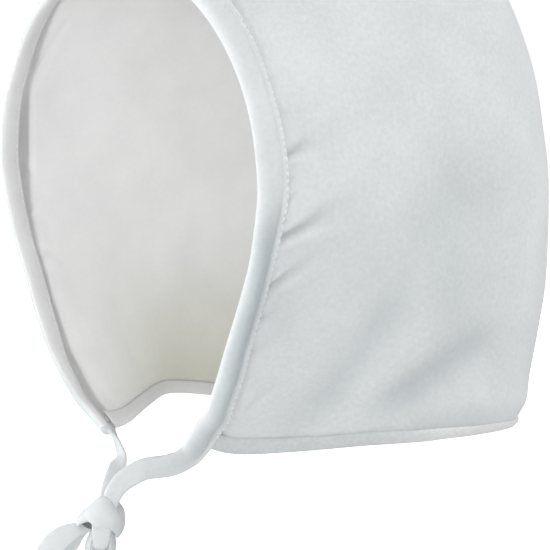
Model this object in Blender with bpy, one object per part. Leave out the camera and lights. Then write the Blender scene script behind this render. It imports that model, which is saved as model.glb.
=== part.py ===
"""Christening bonnet worn with its ties done up in a bow, and nobody in it.

Metres, +Z up. The wearer faces -Y and the wearer's left is +X. The origin is
where the top of the head meets the inside of the crown. All sizes below are in
millimetres and are turned into metres when a mesh is made.
"""
import bmesh
import bpy
import numpy as np

MM = 0.001

# Cloth and clearances
WALL = 1.6
CLEARANCE = 0.3
SEAM_GAP = 0.3

# Cap, as the outer face of its cloth
CAP_HALF_WIDTH = 64.5
CAP_DEPTH = 142.8
CAP_HEIGHT = 165.6
FACE_TOP_DROP = 18.0

# Face binding, a strip folded over the front edge with a raised welt at its seam
BINDING_CLOTH = 1.2
BINDING_OUTER_WIDTH = 7.8
BINDING_INNER_WIDTH = 4.6
WELT_WIDTH = 1.9
WELT_RISE = 0.5
ROLL_RISE = 0.3
ROLL_TOP_SHARE = 0.40
BEND_SHARE = 0.8
ROUND_OFF_SHARE = 0.4

# Neck binding, a narrow satin strip folded over the lower edge
NECK_BINDING_WIDTH = 4.0

# Chin ties and the bow under the chin
TIE_WIDTH = 6.0
TIE_CLOTH = 1.4
KNOT_WIDTH = 12.4
KNOT_THICKNESS = 9.2
KNOT_HEIGHT = 10.0
KNOT_AHEAD_OF_FACE = 10.8
KNOT_BELOW_EDGE = 17.0
LOOP_LENGTH = 30.0
HANGING_LOOP_LENGTH = 17.0
SHORT_END_LENGTH = 6.0
LONG_END_LENGTH = 48.0

# Folds and creases in the side panels
FOLD_BREADTH = 8.0
FOLD_SINK = 1.2
FOLD_FADE = 8.0

# Form of the cap, as shares of its sizes
WIDEST_DEPTH_SHARE = 0.532
WIDEST_HEIGHT_SHARE = 0.553
LOWER_REACH_SHARE = 0.996
FACE_NARROWING = 0.045
DRAW_FADE_SHARE = 0.434
PLAN_ROUNDNESS = 2.35
FRONT_ARCH_ROUNDNESS = 2.2
BACK_ARCH_ROUNDNESS = 2.4
LOWER_ROUNDNESS = 2.0

CROWN_TOP = WALL
CENTRE_DEPTH = CAP_DEPTH * WIDEST_DEPTH_SHARE
CENTRE_HEIGHT = CROWN_TOP - CAP_HEIGHT * WIDEST_HEIGHT_SHARE
BACK_REACH = CAP_DEPTH - CENTRE_DEPTH
LOWER_REACH = CAP_HEIGHT * LOWER_REACH_SHARE
REACH_LIMIT = CAP_DEPTH + CAP_HEIGHT

# Shares of the cap height, measured down, against shares of its depth and width
FACE_EDGE = (
    # height share, depth share
    (-0.02, -0.026),
    (0.19, -0.014),
    (0.37, -0.001),
    (0.55, -0.002),
    (0.70, -0.001),
    (0.80, 0.004),
    (0.885, 0.022),
    (0.945, 0.042),
    (1.035, 0.070),
)
CORNER_DRAW = (
    # height share, share of the half width lost at the face edge
    (0.43, 0.0),
    (0.52, 0.0),
    (0.615, 0.055),
    (0.705, 0.155),
    (0.795, 0.27),
    (0.855, 0.365),
    (0.915, 0.50),
    (0.976, 0.67),
    (1.066, 0.80),
)
LOWER_EDGE = (
    # depth share, height share on the wearer's left, the same on the right
    (-0.14, 0.958, 0.946),
    (0.042, 0.973, 0.979),
    (0.14, 0.997, 0.984),
    (0.252, 0.995, 0.968),
    (0.364, 0.984, 0.959),
    (0.462, 0.982, 0.964),
    (0.616, 0.986, 0.984),
    (0.875, 0.998, 0.998),
    (1.12, 1.0, 1.0),
)
FOLDS = (
    # side, from depth and height share, to depth and height share, breadth share, sink share
    (1, 0.196, 0.909, 0.371, 0.698, 0.9, 0.85),
    (1, 0.30, 0.903, 0.63, 0.807, 0.9, 0.75),
    (1, 0.063, 0.595, 0.189, 0.541, 0.5, 1.0),
    (1, 0.042, 0.686, 0.133, 0.632, 0.5, 0.85),
    (-1, 0.21, 0.928, 0.336, 0.674, 1.0, 0.7),
    (-1, 0.364, 0.915, 0.56, 0.734, 1.0, 0.6),
)

# Colour and roughness of each cloth
SATEEN = ((0.80, 0.81, 0.82), 0.55)
SATIN = ((0.78, 0.79, 0.79), 0.45)

# How finely the shapes are divided
PANEL_COLUMNS = 24
PANEL_ROWS = 22
BINDING_SEGMENTS = 26
NECK_SEGMENTS = 26
TIE_SEGMENTS = 22
LOOP_SEGMENTS = 26
END_SEGMENTS = 16
STRIP_SIDES = 8
KNOT_ROWS = 12
KNOT_SIDES = 18
RELAX_PASSES = 12
HALVINGS = 34
NORMAL_STEP = 0.05
LINE_SAMPLES = 120
LOWEST_FACE_ANGLE = np.radians(-84.0)
CROWN_TURN_ANGLE = np.radians(50.0)
SHARP_ANGLE = np.radians(40.0)


def table_column(table, column, at):
    """Read a table smoothly at a position given in its first column."""
    rows = np.array(table, float)
    rows = rows[np.argsort(rows[:, 0])]
    keys = rows[:, 0]
    values = rows[:, column]
    slopes = np.gradient(values, keys)
    at = np.clip(at, keys[0], keys[-1])
    right = np.clip(np.searchsorted(keys, at, side="right"), 1, len(keys) - 1)
    left = right - 1
    span = keys[right] - keys[left]
    t = (at - keys[left]) / span
    rise = t * t * (3 - 2 * t)
    start = values[left] * (1 - rise) + values[right] * rise
    bend = slopes[left] * t * (1 - t) ** 2 - slopes[right] * t * t * (1 - t)
    return start + bend * span


def ease(t):
    t = np.clip(t, 0.0, 1.0)
    return t * t * (3 - 2 * t)


def height_share(height):
    return (CROWN_TOP - height) / CAP_HEIGHT


def face_depth(height):
    return CAP_DEPTH * table_column(FACE_EDGE, 1, height_share(height))


def hem_height(depth, side):
    column = 1 if side > 0 else 2
    return CROWN_TOP - CAP_HEIGHT * table_column(LOWER_EDGE, column, depth / CAP_DEPTH)


def body_value(points):
    """Below one inside the cap's outer face and above one outside it."""
    x = np.abs(points[..., 0])
    y = points[..., 1]
    z = points[..., 2]
    forward = np.clip((CENTRE_DEPTH - y) / CENTRE_DEPTH, 0.0, 1.4)
    behind = np.clip((y - CENTRE_DEPTH) / BACK_REACH, 0.0, None)
    draw = table_column(CORNER_DRAW, 1, height_share(z))
    fade = 1 - ease((y - face_depth(z)) / (CAP_DEPTH * DRAW_FADE_SHARE))
    width = CAP_HALF_WIDTH * (1 - FACE_NARROWING * forward ** 2) * (1 - draw * fade)
    plan = ((x / width) ** PLAN_ROUNDNESS + behind ** PLAN_ROUNDNESS) ** (1 / PLAN_ROUNDNESS)
    crown = CROWN_TOP - FACE_TOP_DROP * forward ** 2
    above = np.clip((z - CENTRE_HEIGHT) / (crown - CENTRE_HEIGHT), 0.0, None)
    below = np.clip((CENTRE_HEIGHT - z) / LOWER_REACH, 0.0, None)
    arch = BACK_ARCH_ROUNDNESS + (FRONT_ARCH_ROUNDNESS - BACK_ARCH_ROUNDNESS) * np.clip(forward, 0, 1)
    upper_half = plan ** arch + above ** arch
    lower_half = plan ** LOWER_ROUNDNESS + below ** LOWER_ROUNDNESS
    return np.where(z > CENTRE_HEIGHT, upper_half, lower_half)


CENTRE = np.array([0.0, CENTRE_DEPTH, CENTRE_HEIGHT])


def reach(place, near, far):
    """Distance at which place(distance) meets the outer face, found by halving."""
    near = np.array(near, float)
    far = np.array(far, float)
    for _ in range(HALVINGS):
        middle = (near + far) / 2
        inside = body_value(place(middle)) < 1.0
        near = np.where(inside, middle, near)
        far = np.where(inside, far, middle)
    return place(near)


def onto_body(points):
    """Move points along the lines from the centre of the cap until they lie on its face."""
    heading = points - CENTRE
    heading = heading / np.linalg.norm(heading, axis=-1, keepdims=True)
    size = heading.shape[:-1]
    return reach(lambda r: CENTRE + heading * r[..., None], np.zeros(size), np.full(size, REACH_LIMIT))


def outward(points):
    """Unit normals of the outer face."""
    columns = []
    for axis in range(3):
        shift = np.zeros(3)
        shift[axis] = NORMAL_STEP
        columns.append(body_value(points + shift) - body_value(points - shift))
    normal = np.stack(columns, -1)
    return normal / np.linalg.norm(normal, axis=-1, keepdims=True)


def face_line(angles, setback):
    """Points on the face edge, or a line set back from it, at angles in the XZ plane."""
    angles = np.asarray(angles, float)

    def place(r):
        x = r * np.cos(angles)
        z = CENTRE_HEIGHT + r * np.sin(angles)
        return np.stack([x, face_depth(z) + setback, z], -1)

    return reach(place, np.zeros(angles.shape), np.full(angles.shape, REACH_LIMIT))


def hem_line(angles, raised, side):
    """Points on the lower edge, or a line raised from it, at plan angles from the back."""
    angles = np.asarray(angles, float)

    def place(r):
        x = side * r * np.sin(angles)
        y = CENTRE_DEPTH + r * np.cos(angles)
        return np.stack([x, y, hem_height(y, side) + raised], -1)

    return reach(place, np.zeros(angles.shape), np.full(angles.shape, REACH_LIMIT))


def seam_line(angles):
    """Points on the centre line, at angles in the YZ plane from the back up and over."""
    angles = np.asarray(angles, float)

    def place(r):
        y = CENTRE_DEPTH + r * np.cos(angles)
        z = CENTRE_HEIGHT + r * np.sin(angles)
        return np.stack([np.zeros(angles.shape), y, z], -1)

    return reach(place, np.zeros(angles.shape), np.full(angles.shape, REACH_LIMIT))


def crossing(measure, low, high):
    """Angle between low and high at which measure(angles) changes sign."""
    for _ in range(3):
        angles = np.linspace(low, high, LINE_SAMPLES // 4)
        values = measure(angles)
        k = np.argmax(np.sign(values[1:]) != np.sign(values[0]))
        low, high = angles[k], angles[k + 1]
    return (low + high) / 2


def evenly(line, start, stop, count):
    """Count + 1 points on a line, evenly spaced along its length."""
    angles = np.linspace(start, stop, LINE_SAMPLES)
    points = line(angles)
    steps = np.linalg.norm(np.diff(points, axis=0), axis=1)
    travelled = np.concatenate([[0.0], np.cumsum(steps)])
    wanted = np.linspace(0.0, travelled[-1], count + 1)
    return line(np.interp(wanted, travelled, angles))


def face_rows(setback, raised, side, count):
    """Points along the face edge from the lower corner up to the middle of the top."""

    def clear_of_hem(angle):
        points = face_line(angle, setback)
        return points[:, 2] - hem_height(points[:, 1], side) - raised

    corner = crossing(clear_of_hem, LOWEST_FACE_ANGLE, 0.0)
    points = evenly(lambda a: face_line(a, setback), corner, np.pi / 2, count)
    points[-1, 0] = 0.0
    points[:, 0] *= side
    return points


def hem_rows(raised, setback, side, count):
    """Points along the lower edge from the front end round to the middle of the back."""

    def clear_of_face(angle):
        points = hem_line(angle, raised, side)
        return points[:, 1] - face_depth(points[:, 2]) - setback

    corner = crossing(clear_of_face, np.pi * 0.5, np.pi)
    points = evenly(lambda a: hem_line(a, raised, side), corner, 0.0, count)
    points[-1, 0] = 0.0
    return points


def seam_rows(setback, raised, count_top, count_back):
    """The centre line in two runs: over the crown, and down the back."""

    def clear_of_face(angle):
        points = seam_line(angle)
        return points[:, 1] - face_depth(points[:, 2]) - setback

    def clear_of_hem(angle):
        points = seam_line(angle)
        return points[:, 2] - hem_height(points[:, 1], 1) - raised

    front = crossing(clear_of_face, np.pi / 2, np.pi)
    nape = crossing(clear_of_hem, -np.pi / 2, 0.0)
    top = evenly(seam_line, front, CROWN_TURN_ANGLE, count_top)
    back = evenly(seam_line, nape, CROWN_TURN_ANGLE, count_back)
    return top, back


def fold_sink(points, side):
    """How far the folds and creases draw the cloth in at each point."""
    sink = np.zeros(points.shape[:-1])
    place = points[..., 1:]
    for fold_side, depth_0, height_0, depth_1, height_1, breadth, share in FOLDS:
        if fold_side != side:
            continue
        start = np.array([CAP_DEPTH * depth_0, CROWN_TOP - CAP_HEIGHT * height_0])
        run = np.array([CAP_DEPTH * depth_1, CROWN_TOP - CAP_HEIGHT * height_1]) - start
        length = np.linalg.norm(run)
        along = ((place - start) @ run) / length ** 2
        across = np.abs((place - start) @ np.array([-run[1], run[0]])) / length
        spread = np.exp(-((across / (FOLD_BREADTH * breadth)) ** 2))
        sink = sink + FOLD_SINK * share * spread * ease(1.5 - np.abs(along - 0.5) * 2)
    setback = points[..., 1] - face_depth(points[..., 2]) - BINDING_OUTER_WIDTH
    raised = points[..., 2] - hem_height(points[..., 1], side) - NECK_BINDING_WIDTH
    near_seam = np.abs(points[..., 0]) / FOLD_FADE
    return sink * ease(setback / FOLD_FADE) * ease(raised / FOLD_FADE) * ease(near_seam)


def panel_grid(side, columns, rows):
    """Outer face of one half: rows from the lower edge to the crown, columns front to back."""
    setback = BINDING_CLOTH + CLEARANCE
    front = face_rows(setback, setback, side, rows)
    lower = hem_rows(setback, setback, side, columns)
    top, back = seam_rows(setback, setback, columns, rows)
    u = np.linspace(0.0, 1.0, columns + 1)[None, :, None]
    v = np.linspace(0.0, 1.0, rows + 1)[:, None, None]
    blend = (1 - v) * lower[None] + v * top[None] + (1 - u) * front[:, None] + u * back[:, None]
    corners = (1 - v) * ((1 - u) * lower[0] + u * lower[-1]) + v * ((1 - u) * top[0] + u * top[-1])
    points = blend - corners
    points[1:-1, 1:-1] = onto_body(points[1:-1, 1:-1])
    for _ in range(RELAX_PASSES):
        middle = (points[:-2, 1:-1] + points[2:, 1:-1] + points[1:-1, :-2] + points[1:-1, 2:]) / 4
        points[1:-1, 1:-1] = onto_body((points[1:-1, 1:-1] + middle) / 2)
    return points


def wall_from_grid(name, outer, inner, finish):
    """One closed solid between two matching grids."""
    rows, columns = outer.shape[:2]
    count = rows * columns
    vertices = np.concatenate([outer.reshape(-1, 3), inner.reshape(-1, 3)])
    faces = []
    for i in range(rows - 1):
        for j in range(columns - 1):
            a = i * columns + j
            quad = (a, a + 1, a + columns + 1, a + columns)
            faces.append(quad)
            faces.append(tuple(count + k for k in reversed(quad)))
    rim = [j for j in range(columns)]
    rim += [i * columns + columns - 1 for i in range(1, rows)]
    rim += [(rows - 1) * columns + j for j in range(columns - 2, -1, -1)]
    rim += [i * columns for i in range(rows - 2, 0, -1)]
    for k, a in enumerate(rim):
        b = rim[(k + 1) % len(rim)]
        faces.append((b, a, count + a, count + b))
    return solid(name, vertices, faces, finish)


def tube_from_rings(name, rings, finish, cap_pairs):
    """One closed solid through rings of points; cap_pairs close its two ends."""
    stations, around = rings.shape[:2]
    vertices = rings.reshape(-1, 3)
    faces = []
    for i in range(stations - 1):
        for k in range(around):
            a = i * around + k
            b = i * around + (k + 1) % around
            faces.append((a, b, b + around, a + around))
    last = (stations - 1) * around
    for cap in cap_pairs:
        faces.append(tuple(reversed(cap)))
        faces.append(tuple(last + k for k in cap))
    return solid(name, vertices, faces, finish)


def solid(name, vertices, faces, finish):
    """Make a mesh object from points in millimetres, with its faces turned outward."""
    mesh = bpy.data.meshes.new(name)
    mesh.from_pydata([tuple(v * MM) for v in vertices], [], faces)
    work = bmesh.new()
    work.from_mesh(mesh)
    bmesh.ops.recalc_face_normals(work, faces=work.faces)
    work.to_mesh(mesh)
    work.free()
    mesh.materials.append(cloth(name, finish))
    mesh.shade_smooth()
    mesh.set_sharp_from_angle(angle=SHARP_ANGLE)
    item = bpy.data.objects.new(name, mesh)
    bpy.context.collection.objects.link(item)
    return item


def cloth(name, finish):
    colour, roughness = finish
    material = bpy.data.materials.new(name + "_cloth")
    material.use_nodes = True
    shader = material.node_tree.nodes["Principled BSDF"]
    shader.inputs["Base Color"].default_value = (*colour, 1.0)
    shader.inputs["Roughness"].default_value = roughness
    return material


def side_panel(name, side, finish):
    """Half of the cap, from the face edge and the lower edge to the centre seam."""
    body = panel_grid(side, PANEL_COLUMNS, PANEL_ROWS)
    normal = outward(body)
    folded = body - normal * fold_sink(body, side)[..., None]
    inner = folded - normal * WALL
    for grid in (folded, inner):
        grid[..., 0] = side * np.maximum(np.abs(grid[..., 0]), SEAM_GAP / 2)
    return wall_from_grid(name, folded, inner, finish)


def channel_caps(count):
    """Quads that close the end of a channel whose ring runs out along it and back."""
    around = 2 * count
    return [(k, k + 1, around - 2 - k, around - 1 - k) for k in range(count - 1)]


def channel_ring_points(table):
    """Outer points of a channel's section in order, then its inner points back again."""
    outer = [(row[0], row[1]) for row in table]
    inner = [(row[2], row[3]) for row in reversed(table)]
    return outer + inner


def face_binding_section():
    """Rows of setback and height over the cloth, outer point then inner point."""
    outside = CLEARANCE
    inside = -WALL - CLEARANCE
    over = outside + BINDING_CLOTH
    under = inside - BINDING_CLOTH
    bottom = BINDING_CLOTH
    leg = BINDING_OUTER_WIDTH
    welt = leg - WELT_WIDTH
    roll = leg * ROLL_TOP_SHARE
    inner_leg = BINDING_INNER_WIDTH
    bend = BINDING_CLOTH * BEND_SHARE
    round_off = BINDING_CLOTH * ROUND_OFF_SHARE
    return (
        (leg, over - round_off, leg, outside),
        (leg - round_off, over + WELT_RISE, leg - round_off, outside),
        (welt + round_off / 2, over + WELT_RISE, welt + round_off / 2, outside),
        (welt - round_off, over, welt - round_off, outside),
        (roll, over + ROLL_RISE, roll, outside),
        (bend, over, bottom, outside),
        (0.0, -WALL / 2, bottom, -WALL / 2),
        (bend, under, bottom, inside),
        (inner_leg / 2, under, inner_leg / 2, inside),
        (inner_leg, under + round_off, inner_leg, inside),
    )


def neck_binding_section():
    outside = CLEARANCE
    inside = -WALL - CLEARANCE
    over = outside + BINDING_CLOTH
    under = inside - BINDING_CLOTH
    leg = NECK_BINDING_WIDTH
    bend = BINDING_CLOTH * BEND_SHARE
    round_off = BINDING_CLOTH * ROUND_OFF_SHARE
    return (
        (leg, over - round_off, leg, outside),
        (leg - round_off, over, leg - round_off, outside),
        (bend, over, BINDING_CLOTH, outside),
        (0.0, -WALL / 2, BINDING_CLOTH, -WALL / 2),
        (bend, under, BINDING_CLOTH, inside),
        (leg, under + round_off, leg, inside),
    )


def face_binding(name, finish):
    """Strip folded over the face edge, from one lower corner over the top to the other."""
    table = face_binding_section()
    columns = []
    for setback, height in channel_ring_points(table):
        left = face_rows(setback, 0.0, 1, BINDING_SEGMENTS)
        right = face_rows(setback, 0.0, -1, BINDING_SEGMENTS)[::-1]
        base = np.concatenate([left, right[1:]])
        columns.append(base + outward(base) * height)
    rings = np.stack(columns, axis=1)
    tube_from_rings(name, rings, finish, channel_caps(len(table)))
    return rings


def neck_binding(name, finish):
    """Narrow strip folded over the lower edge, from corner to corner round the nape."""
    table = neck_binding_section()
    start = BINDING_OUTER_WIDTH + CLEARANCE
    columns = []
    for raised, height in channel_ring_points(table):
        left = hem_rows(raised, start, 1, NECK_SEGMENTS)
        right = hem_rows(raised, start, -1, NECK_SEGMENTS)[::-1]
        base = np.concatenate([left, right[1:]])
        columns.append(base + outward(base) * height)
    rings = np.stack(columns, axis=1)
    tube_from_rings(name, rings, finish, channel_caps(len(table)))


def smooth_run(rows, count):
    """Resample a table of stations smoothly and evenly along its length."""
    steps = np.linalg.norm(np.diff(rows[:, :3], axis=0), axis=1)
    travelled = np.concatenate([[0.0], np.cumsum(steps)])
    keyed = np.column_stack([travelled, rows])
    wanted = np.linspace(0.0, travelled[-1], count + 1)
    columns = [table_column(keyed, k + 1, wanted) for k in range(rows.shape[1])]
    return np.stack(columns, axis=1)


def unit(vectors):
    return vectors / np.linalg.norm(vectors, axis=-1, keepdims=True)


def strip(name, rows, count, finish, lead=None):
    """Flat strip of folded cloth along stations of place, width, cloth and facing.

    A lead gives the width direction and facing of the slanting cut that it starts from.
    """
    run = smooth_run(rows, count)
    place = run[:, 0:3]
    tangent = unit(np.gradient(place, axis=0))
    facing = run[:, 5:8]
    facing = unit(facing - np.sum(facing * tangent, axis=1, keepdims=True) * tangent)
    across = np.cross(tangent, facing)
    if lead is not None:
        wide, outer = lead
        if across[0] @ wide < 0:
            wide = -wide
        for i in range(LEAD_SEGMENTS):
            share = i / LEAD_SEGMENTS
            across[i] = unit(wide * (1 - share) + across[i] * share)
            facing[i] = unit(outer * (1 - share) + facing[i] * share)
    turn = (np.arange(STRIP_SIDES) + 0.5) * 2 * np.pi / STRIP_SIDES
    wide_share = np.sign(np.cos(turn)) * np.sqrt(np.abs(np.cos(turn)))
    thick_share = np.sign(np.sin(turn)) * np.sqrt(np.abs(np.sin(turn)))
    rings = (
        place[:, None]
        + across[:, None] * (run[:, 3] / 2)[:, None, None] * wide_share[None, :, None]
        + facing[:, None] * (run[:, 4] / 2)[:, None, None] * thick_share[None, :, None]
    )
    return tube_from_rings(name, rings, finish, [tuple(range(STRIP_SIDES))])


# Directions of the bow: across it, up, and toward whoever looks at its broad side
BOW_TURN = np.array([(0.643, 0.766, 0.0), (0.0, 0.0, 1.0), (0.766, -0.643, 0.0)])
KNOT_HALF = np.array([KNOT_WIDTH, KNOT_HEIGHT, KNOT_THICKNESS]) / 2
KNOT_MIDDLE = np.array([0.0, -KNOT_AHEAD_OF_FACE, CROWN_TOP - CAP_HEIGHT - KNOT_BELOW_EDGE])
KNOT_SQUARENESS = 0.85
KNOT_GROOVE_ACROSS = np.array([0.80, 0.60, 0.0])
KNOT_GROOVE_SHARE = 0.26
KNOT_GROOVE_WIDTH = 1.0
KNOT_GROOVE_DEPTH = 0.10
LEAD_SEGMENTS = 6
ROOT_CLEARANCE = 0.6
TIE_START_DROP = 0.7
TIE_START_CLOTH = 3.4

# Routes: how far along from root to root, then sideways, up and near as shares of the
# length, shares of the tie's width and cloth, and which way the broad face looks
LEFT_TIE_ROUTE = (
    # along, across, up, near, width, cloth, facing across, up, near
    (0.14, 0.02, -0.02, 0.00, 1.12, 1.5, 0.10, -0.48, 0.88),
    (0.38, 0.05, 0.00, 0.00, 1.0, 1.1, 0.0, -0.10, 0.99),
    (0.60, 0.02, 0.05, 0.02, 1.0, 1.0, 0.0, 0.10, 0.99),
    (0.80, -0.01, 0.05, 0.02, 1.0, 1.0, 0.0, 0.05, 1.0),
    (0.92, -0.04, 0.045, 0.01, 0.92, 1.0, 0.0, 0.0, 1.0),
    (1.0, 0.0, 0.0, 0.0, 0.86, 1.0, 0.0, 0.0, 1.0),
)
RIGHT_TIE_ROUTE = (
    # along, across, up, near, width, cloth, facing across, up, near
    (0.24, 0.02, -0.01, 0.02, 0.97, 1.15, -0.95, -0.10, 0.10),
    (0.50, 0.06, 0.00, 0.02, 0.93, 1.0, -0.75, 0.0, 0.66),
    (0.75, 0.05, 0.01, 0.03, 0.90, 1.0, -0.20, 0.0, 0.98),
    (0.90, 0.02, 0.045, 0.06, 0.84, 1.0, 0.0, 0.0, 1.0),
    (1.0, 0.0, 0.0, 0.0, 0.80, 1.0, 0.0, 0.0, 1.0),
)
WIDE_LOOP_ROUTE = (
    # along, across, up, near, width, cloth, facing across, up, near
    (0.0, 0.0, 0.0, 0.0, 0.90, 1.0, 0.10, 0.25, 0.96),
    (0.05, -0.13, -0.08, 0.03, 1.10, 1.0, 0.0, 0.20, 0.98),
    (0.12, -0.28, -0.20, 0.05, 1.16, 1.0, -0.10, 0.15, 0.98),
    (0.25, -0.42, -0.37, 0.06, 1.16, 1.0, -0.20, 0.0, 0.98),
    (0.40, -0.51, -0.54, 0.05, 1.12, 1.0, -0.45, -0.40, 0.80),
    (0.50, -0.54, -0.61, 0.01, 1.10, 1.0, -0.64, -0.77, 0.0),
    (0.60, -0.50, -0.54, -0.03, 1.10, 1.0, -0.40, -0.45, -0.80),
    (0.75, -0.40, -0.37, -0.04, 1.10, 1.0, 0.0, 0.0, -1.0),
    (0.88, -0.26, -0.20, -0.02, 1.06, 1.0, 0.0, 0.0, -1.0),
    (0.95, -0.12, -0.09, -0.01, 1.0, 1.0, 0.0, 0.0, -1.0),
    (1.0, 0.0, 0.0, 0.0, 0.80, 1.0, 0.0, 0.0, -1.0),
)
HANGING_LOOP_ROUTE = (
    # along, across, up, near, width, cloth, facing across, up, near
    (0.0, 0.0, 0.0, 0.0, 0.76, 1.0, 0.94, 0.0, 0.34),
    (0.05, 0.07, -0.24, -0.06, 0.86, 1.0, 0.94, 0.10, 0.30),
    (0.20, 0.12, -0.54, -0.08, 0.90, 1.0, 0.95, -0.10, 0.28),
    (0.40, 0.10, -0.86, -0.09, 0.90, 1.0, 0.80, -0.55, 0.20),
    (0.50, 0.0, -0.98, -0.09, 0.90, 1.0, 0.0, -1.0, 0.10),
    (0.60, -0.12, -0.86, -0.09, 0.90, 1.0, -0.80, -0.55, 0.20),
    (0.80, -0.16, -0.54, -0.08, 0.90, 1.0, -0.94, 0.0, 0.30),
    (0.95, -0.10, -0.24, -0.06, 0.84, 1.0, -0.90, 0.25, 0.30),
    (1.0, 0.0, 0.0, 0.0, 0.74, 1.0, -0.88, 0.35, 0.30),
)
SHORT_END_ROUTE = (
    # along, across, up, near, width, cloth, facing across, up, near
    (0.0, 0.0, 0.0, 0.0, 0.90, 1.0, 0.0, 0.25, 0.97),
    (0.5, 0.0, -0.50, 0.06, 0.85, 1.0, 0.0, 0.05, 1.0),
    (1.0, 0.02, -0.98, 0.05, 0.74, 1.0, 0.0, -0.10, 1.0),
)
LONG_END_ROUTE = (
    # along, across, up, near, width, cloth, facing across, up, near
    (0.0, 0.0, 0.0, 0.0, 0.84, 1.0, 0.0, -0.30, -0.95),
    (0.1, 0.0, -0.08, -0.05, 0.90, 1.0, 0.0, -0.30, -0.95),
    (0.3, -0.01, -0.24, -0.07, 1.0, 1.0, 0.0, 0.0, -1.0),
    (0.5, -0.03, -0.49, -0.06, 1.0, 1.0, 0.15, 0.0, -0.99),
    (0.8, -0.04, -0.74, -0.04, 1.0, 1.0, 0.05, 0.05, -1.0),
    (1.0, -0.02, -0.95, -0.03, 1.0, 1.0, 0.0, 0.0, -1.0),
)


def knot_root(across, up, near):
    """Place just clear of the knot's face in a direction given in the bow's frame."""
    heading = np.array([across, up, near])
    power = 2 / KNOT_SQUARENESS
    heading = heading / np.sum(np.abs(heading) ** power) ** (1 / power)
    local = heading * KNOT_HALF
    local = local + unit(local) * ROOT_CLEARANCE
    return local @ BOW_TURN + KNOT_MIDDLE


def route(start, stop, length, table):
    """Stations between two roots, from a table of shares."""
    rows = np.array(table)
    along = rows[:, 0:1]
    place = start * (1 - along) + stop * along + length * rows[:, 1:4] @ BOW_TURN
    return np.column_stack([place, rows[:, 4] * TIE_WIDTH, rows[:, 5] * TIE_CLOTH, rows[:, 6:9] @ BOW_TURN])


def chin_tie(name, rings, side, stop, table, finish):
    """Strip that runs on from the binding's end to the knot."""
    ring = rings[0] if side > 0 else rings[-1]
    before = rings[1] if side > 0 else rings[-2]
    middle = ring.mean(axis=0)
    onward = unit(middle - before.mean(axis=0))
    wide = unit(ring[0] - ring[len(ring) // 4])
    facing = unit(np.cross(wide, onward))
    if facing @ (middle - CENTRE) < 0:
        facing = -facing
    start = middle + onward * TIE_START_DROP
    first = np.array([*start, BINDING_OUTER_WIDTH, TIE_START_CLOTH, *facing])
    run = route(start, stop, np.linalg.norm(stop - start), table)
    strip(name, np.vstack([first, run]), TIE_SEGMENTS, finish, (wide, facing))


def knot_lump(name, finish):
    """Tight wrap of cloth: a rounded lump with a slanting groove between its turns."""
    headings = []
    turn = 2 * np.pi * np.arange(KNOT_SIDES) / KNOT_SIDES
    for i in range(1, KNOT_ROWS):
        lift = np.pi * i / KNOT_ROWS
        level = np.full(KNOT_SIDES, np.cos(lift))
        headings.append(np.stack([np.sin(lift) * np.cos(turn), level, np.sin(lift) * np.sin(turn)], axis=-1))
    heading = np.concatenate(headings + [np.array([[0.0, 1.0, 0.0], [0.0, -1.0, 0.0]])])
    local = np.sign(heading) * np.abs(heading) ** KNOT_SQUARENESS * KNOT_HALF
    from_groove = np.abs(local @ KNOT_GROOVE_ACROSS - KNOT_WIDTH * KNOT_GROOVE_SHARE)
    local = local * (1 - KNOT_GROOVE_DEPTH * np.exp(-((from_groove / KNOT_GROOVE_WIDTH) ** 2)))[:, None]
    points = local @ BOW_TURN + KNOT_MIDDLE
    faces = []
    for i in range(KNOT_ROWS - 2):
        for k in range(KNOT_SIDES):
            a = i * KNOT_SIDES + k
            b = i * KNOT_SIDES + (k + 1) % KNOT_SIDES
            faces.append((a, b, b + KNOT_SIDES, a + KNOT_SIDES))
    top = (KNOT_ROWS - 1) * KNOT_SIDES
    lowest = (KNOT_ROWS - 2) * KNOT_SIDES
    for k in range(KNOT_SIDES):
        after = (k + 1) % KNOT_SIDES
        faces.append((top, after, k))
        faces.append((top + 1, lowest + k, lowest + after))
    solid(name, points, faces, finish)


def bow(finish):
    """Two loops and two free ends around the knot."""
    wide = route(knot_root(-1.0, -0.50, 0.35), knot_root(-0.70, -1.0, 0.0), LOOP_LENGTH, WIDE_LOOP_ROUTE)
    strip("bow_loop_right", wide, LOOP_SEGMENTS, finish)
    right_leg = knot_root(0.42, -1.0, -0.62)
    left_leg = knot_root(-0.42, -1.0, -0.66)
    hanging = route(right_leg, left_leg, HANGING_LOOP_LENGTH, HANGING_LOOP_ROUTE)
    strip("bow_loop_left", hanging, LOOP_SEGMENTS, finish)
    front = knot_root(0.0, -1.0, 0.66)
    short_end = route(front, front, SHORT_END_LENGTH, SHORT_END_ROUTE)
    strip("tie_end_left", short_end, END_SEGMENTS // 2, finish)
    back = knot_root(0.0, -0.40, -1.0) - BOW_TURN[2] * (TIE_CLOTH / 2 - CLEARANCE)
    long_end = route(back, back, LONG_END_LENGTH, LONG_END_ROUTE)
    strip("tie_end_right", long_end, END_SEGMENTS, finish)


def build():
    for item in list(bpy.data.objects):
        bpy.data.objects.remove(item)
    side_panel("left_side_panel", 1, SATEEN)
    side_panel("right_side_panel", -1, SATEEN)
    rings = face_binding("face_binding", SATEEN)
    neck_binding("neck_binding", SATIN)
    chin_tie("chin_tie_left", rings, 1, knot_root(0.34, 1.0, 0.30), LEFT_TIE_ROUTE, SATEEN)
    chin_tie("chin_tie_right", rings, -1, knot_root(0.38, 1.0, -0.40), RIGHT_TIE_ROUTE, SATEEN)
    knot_lump("bow_knot", SATEEN)
    bow(SATEEN)


build()
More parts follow.
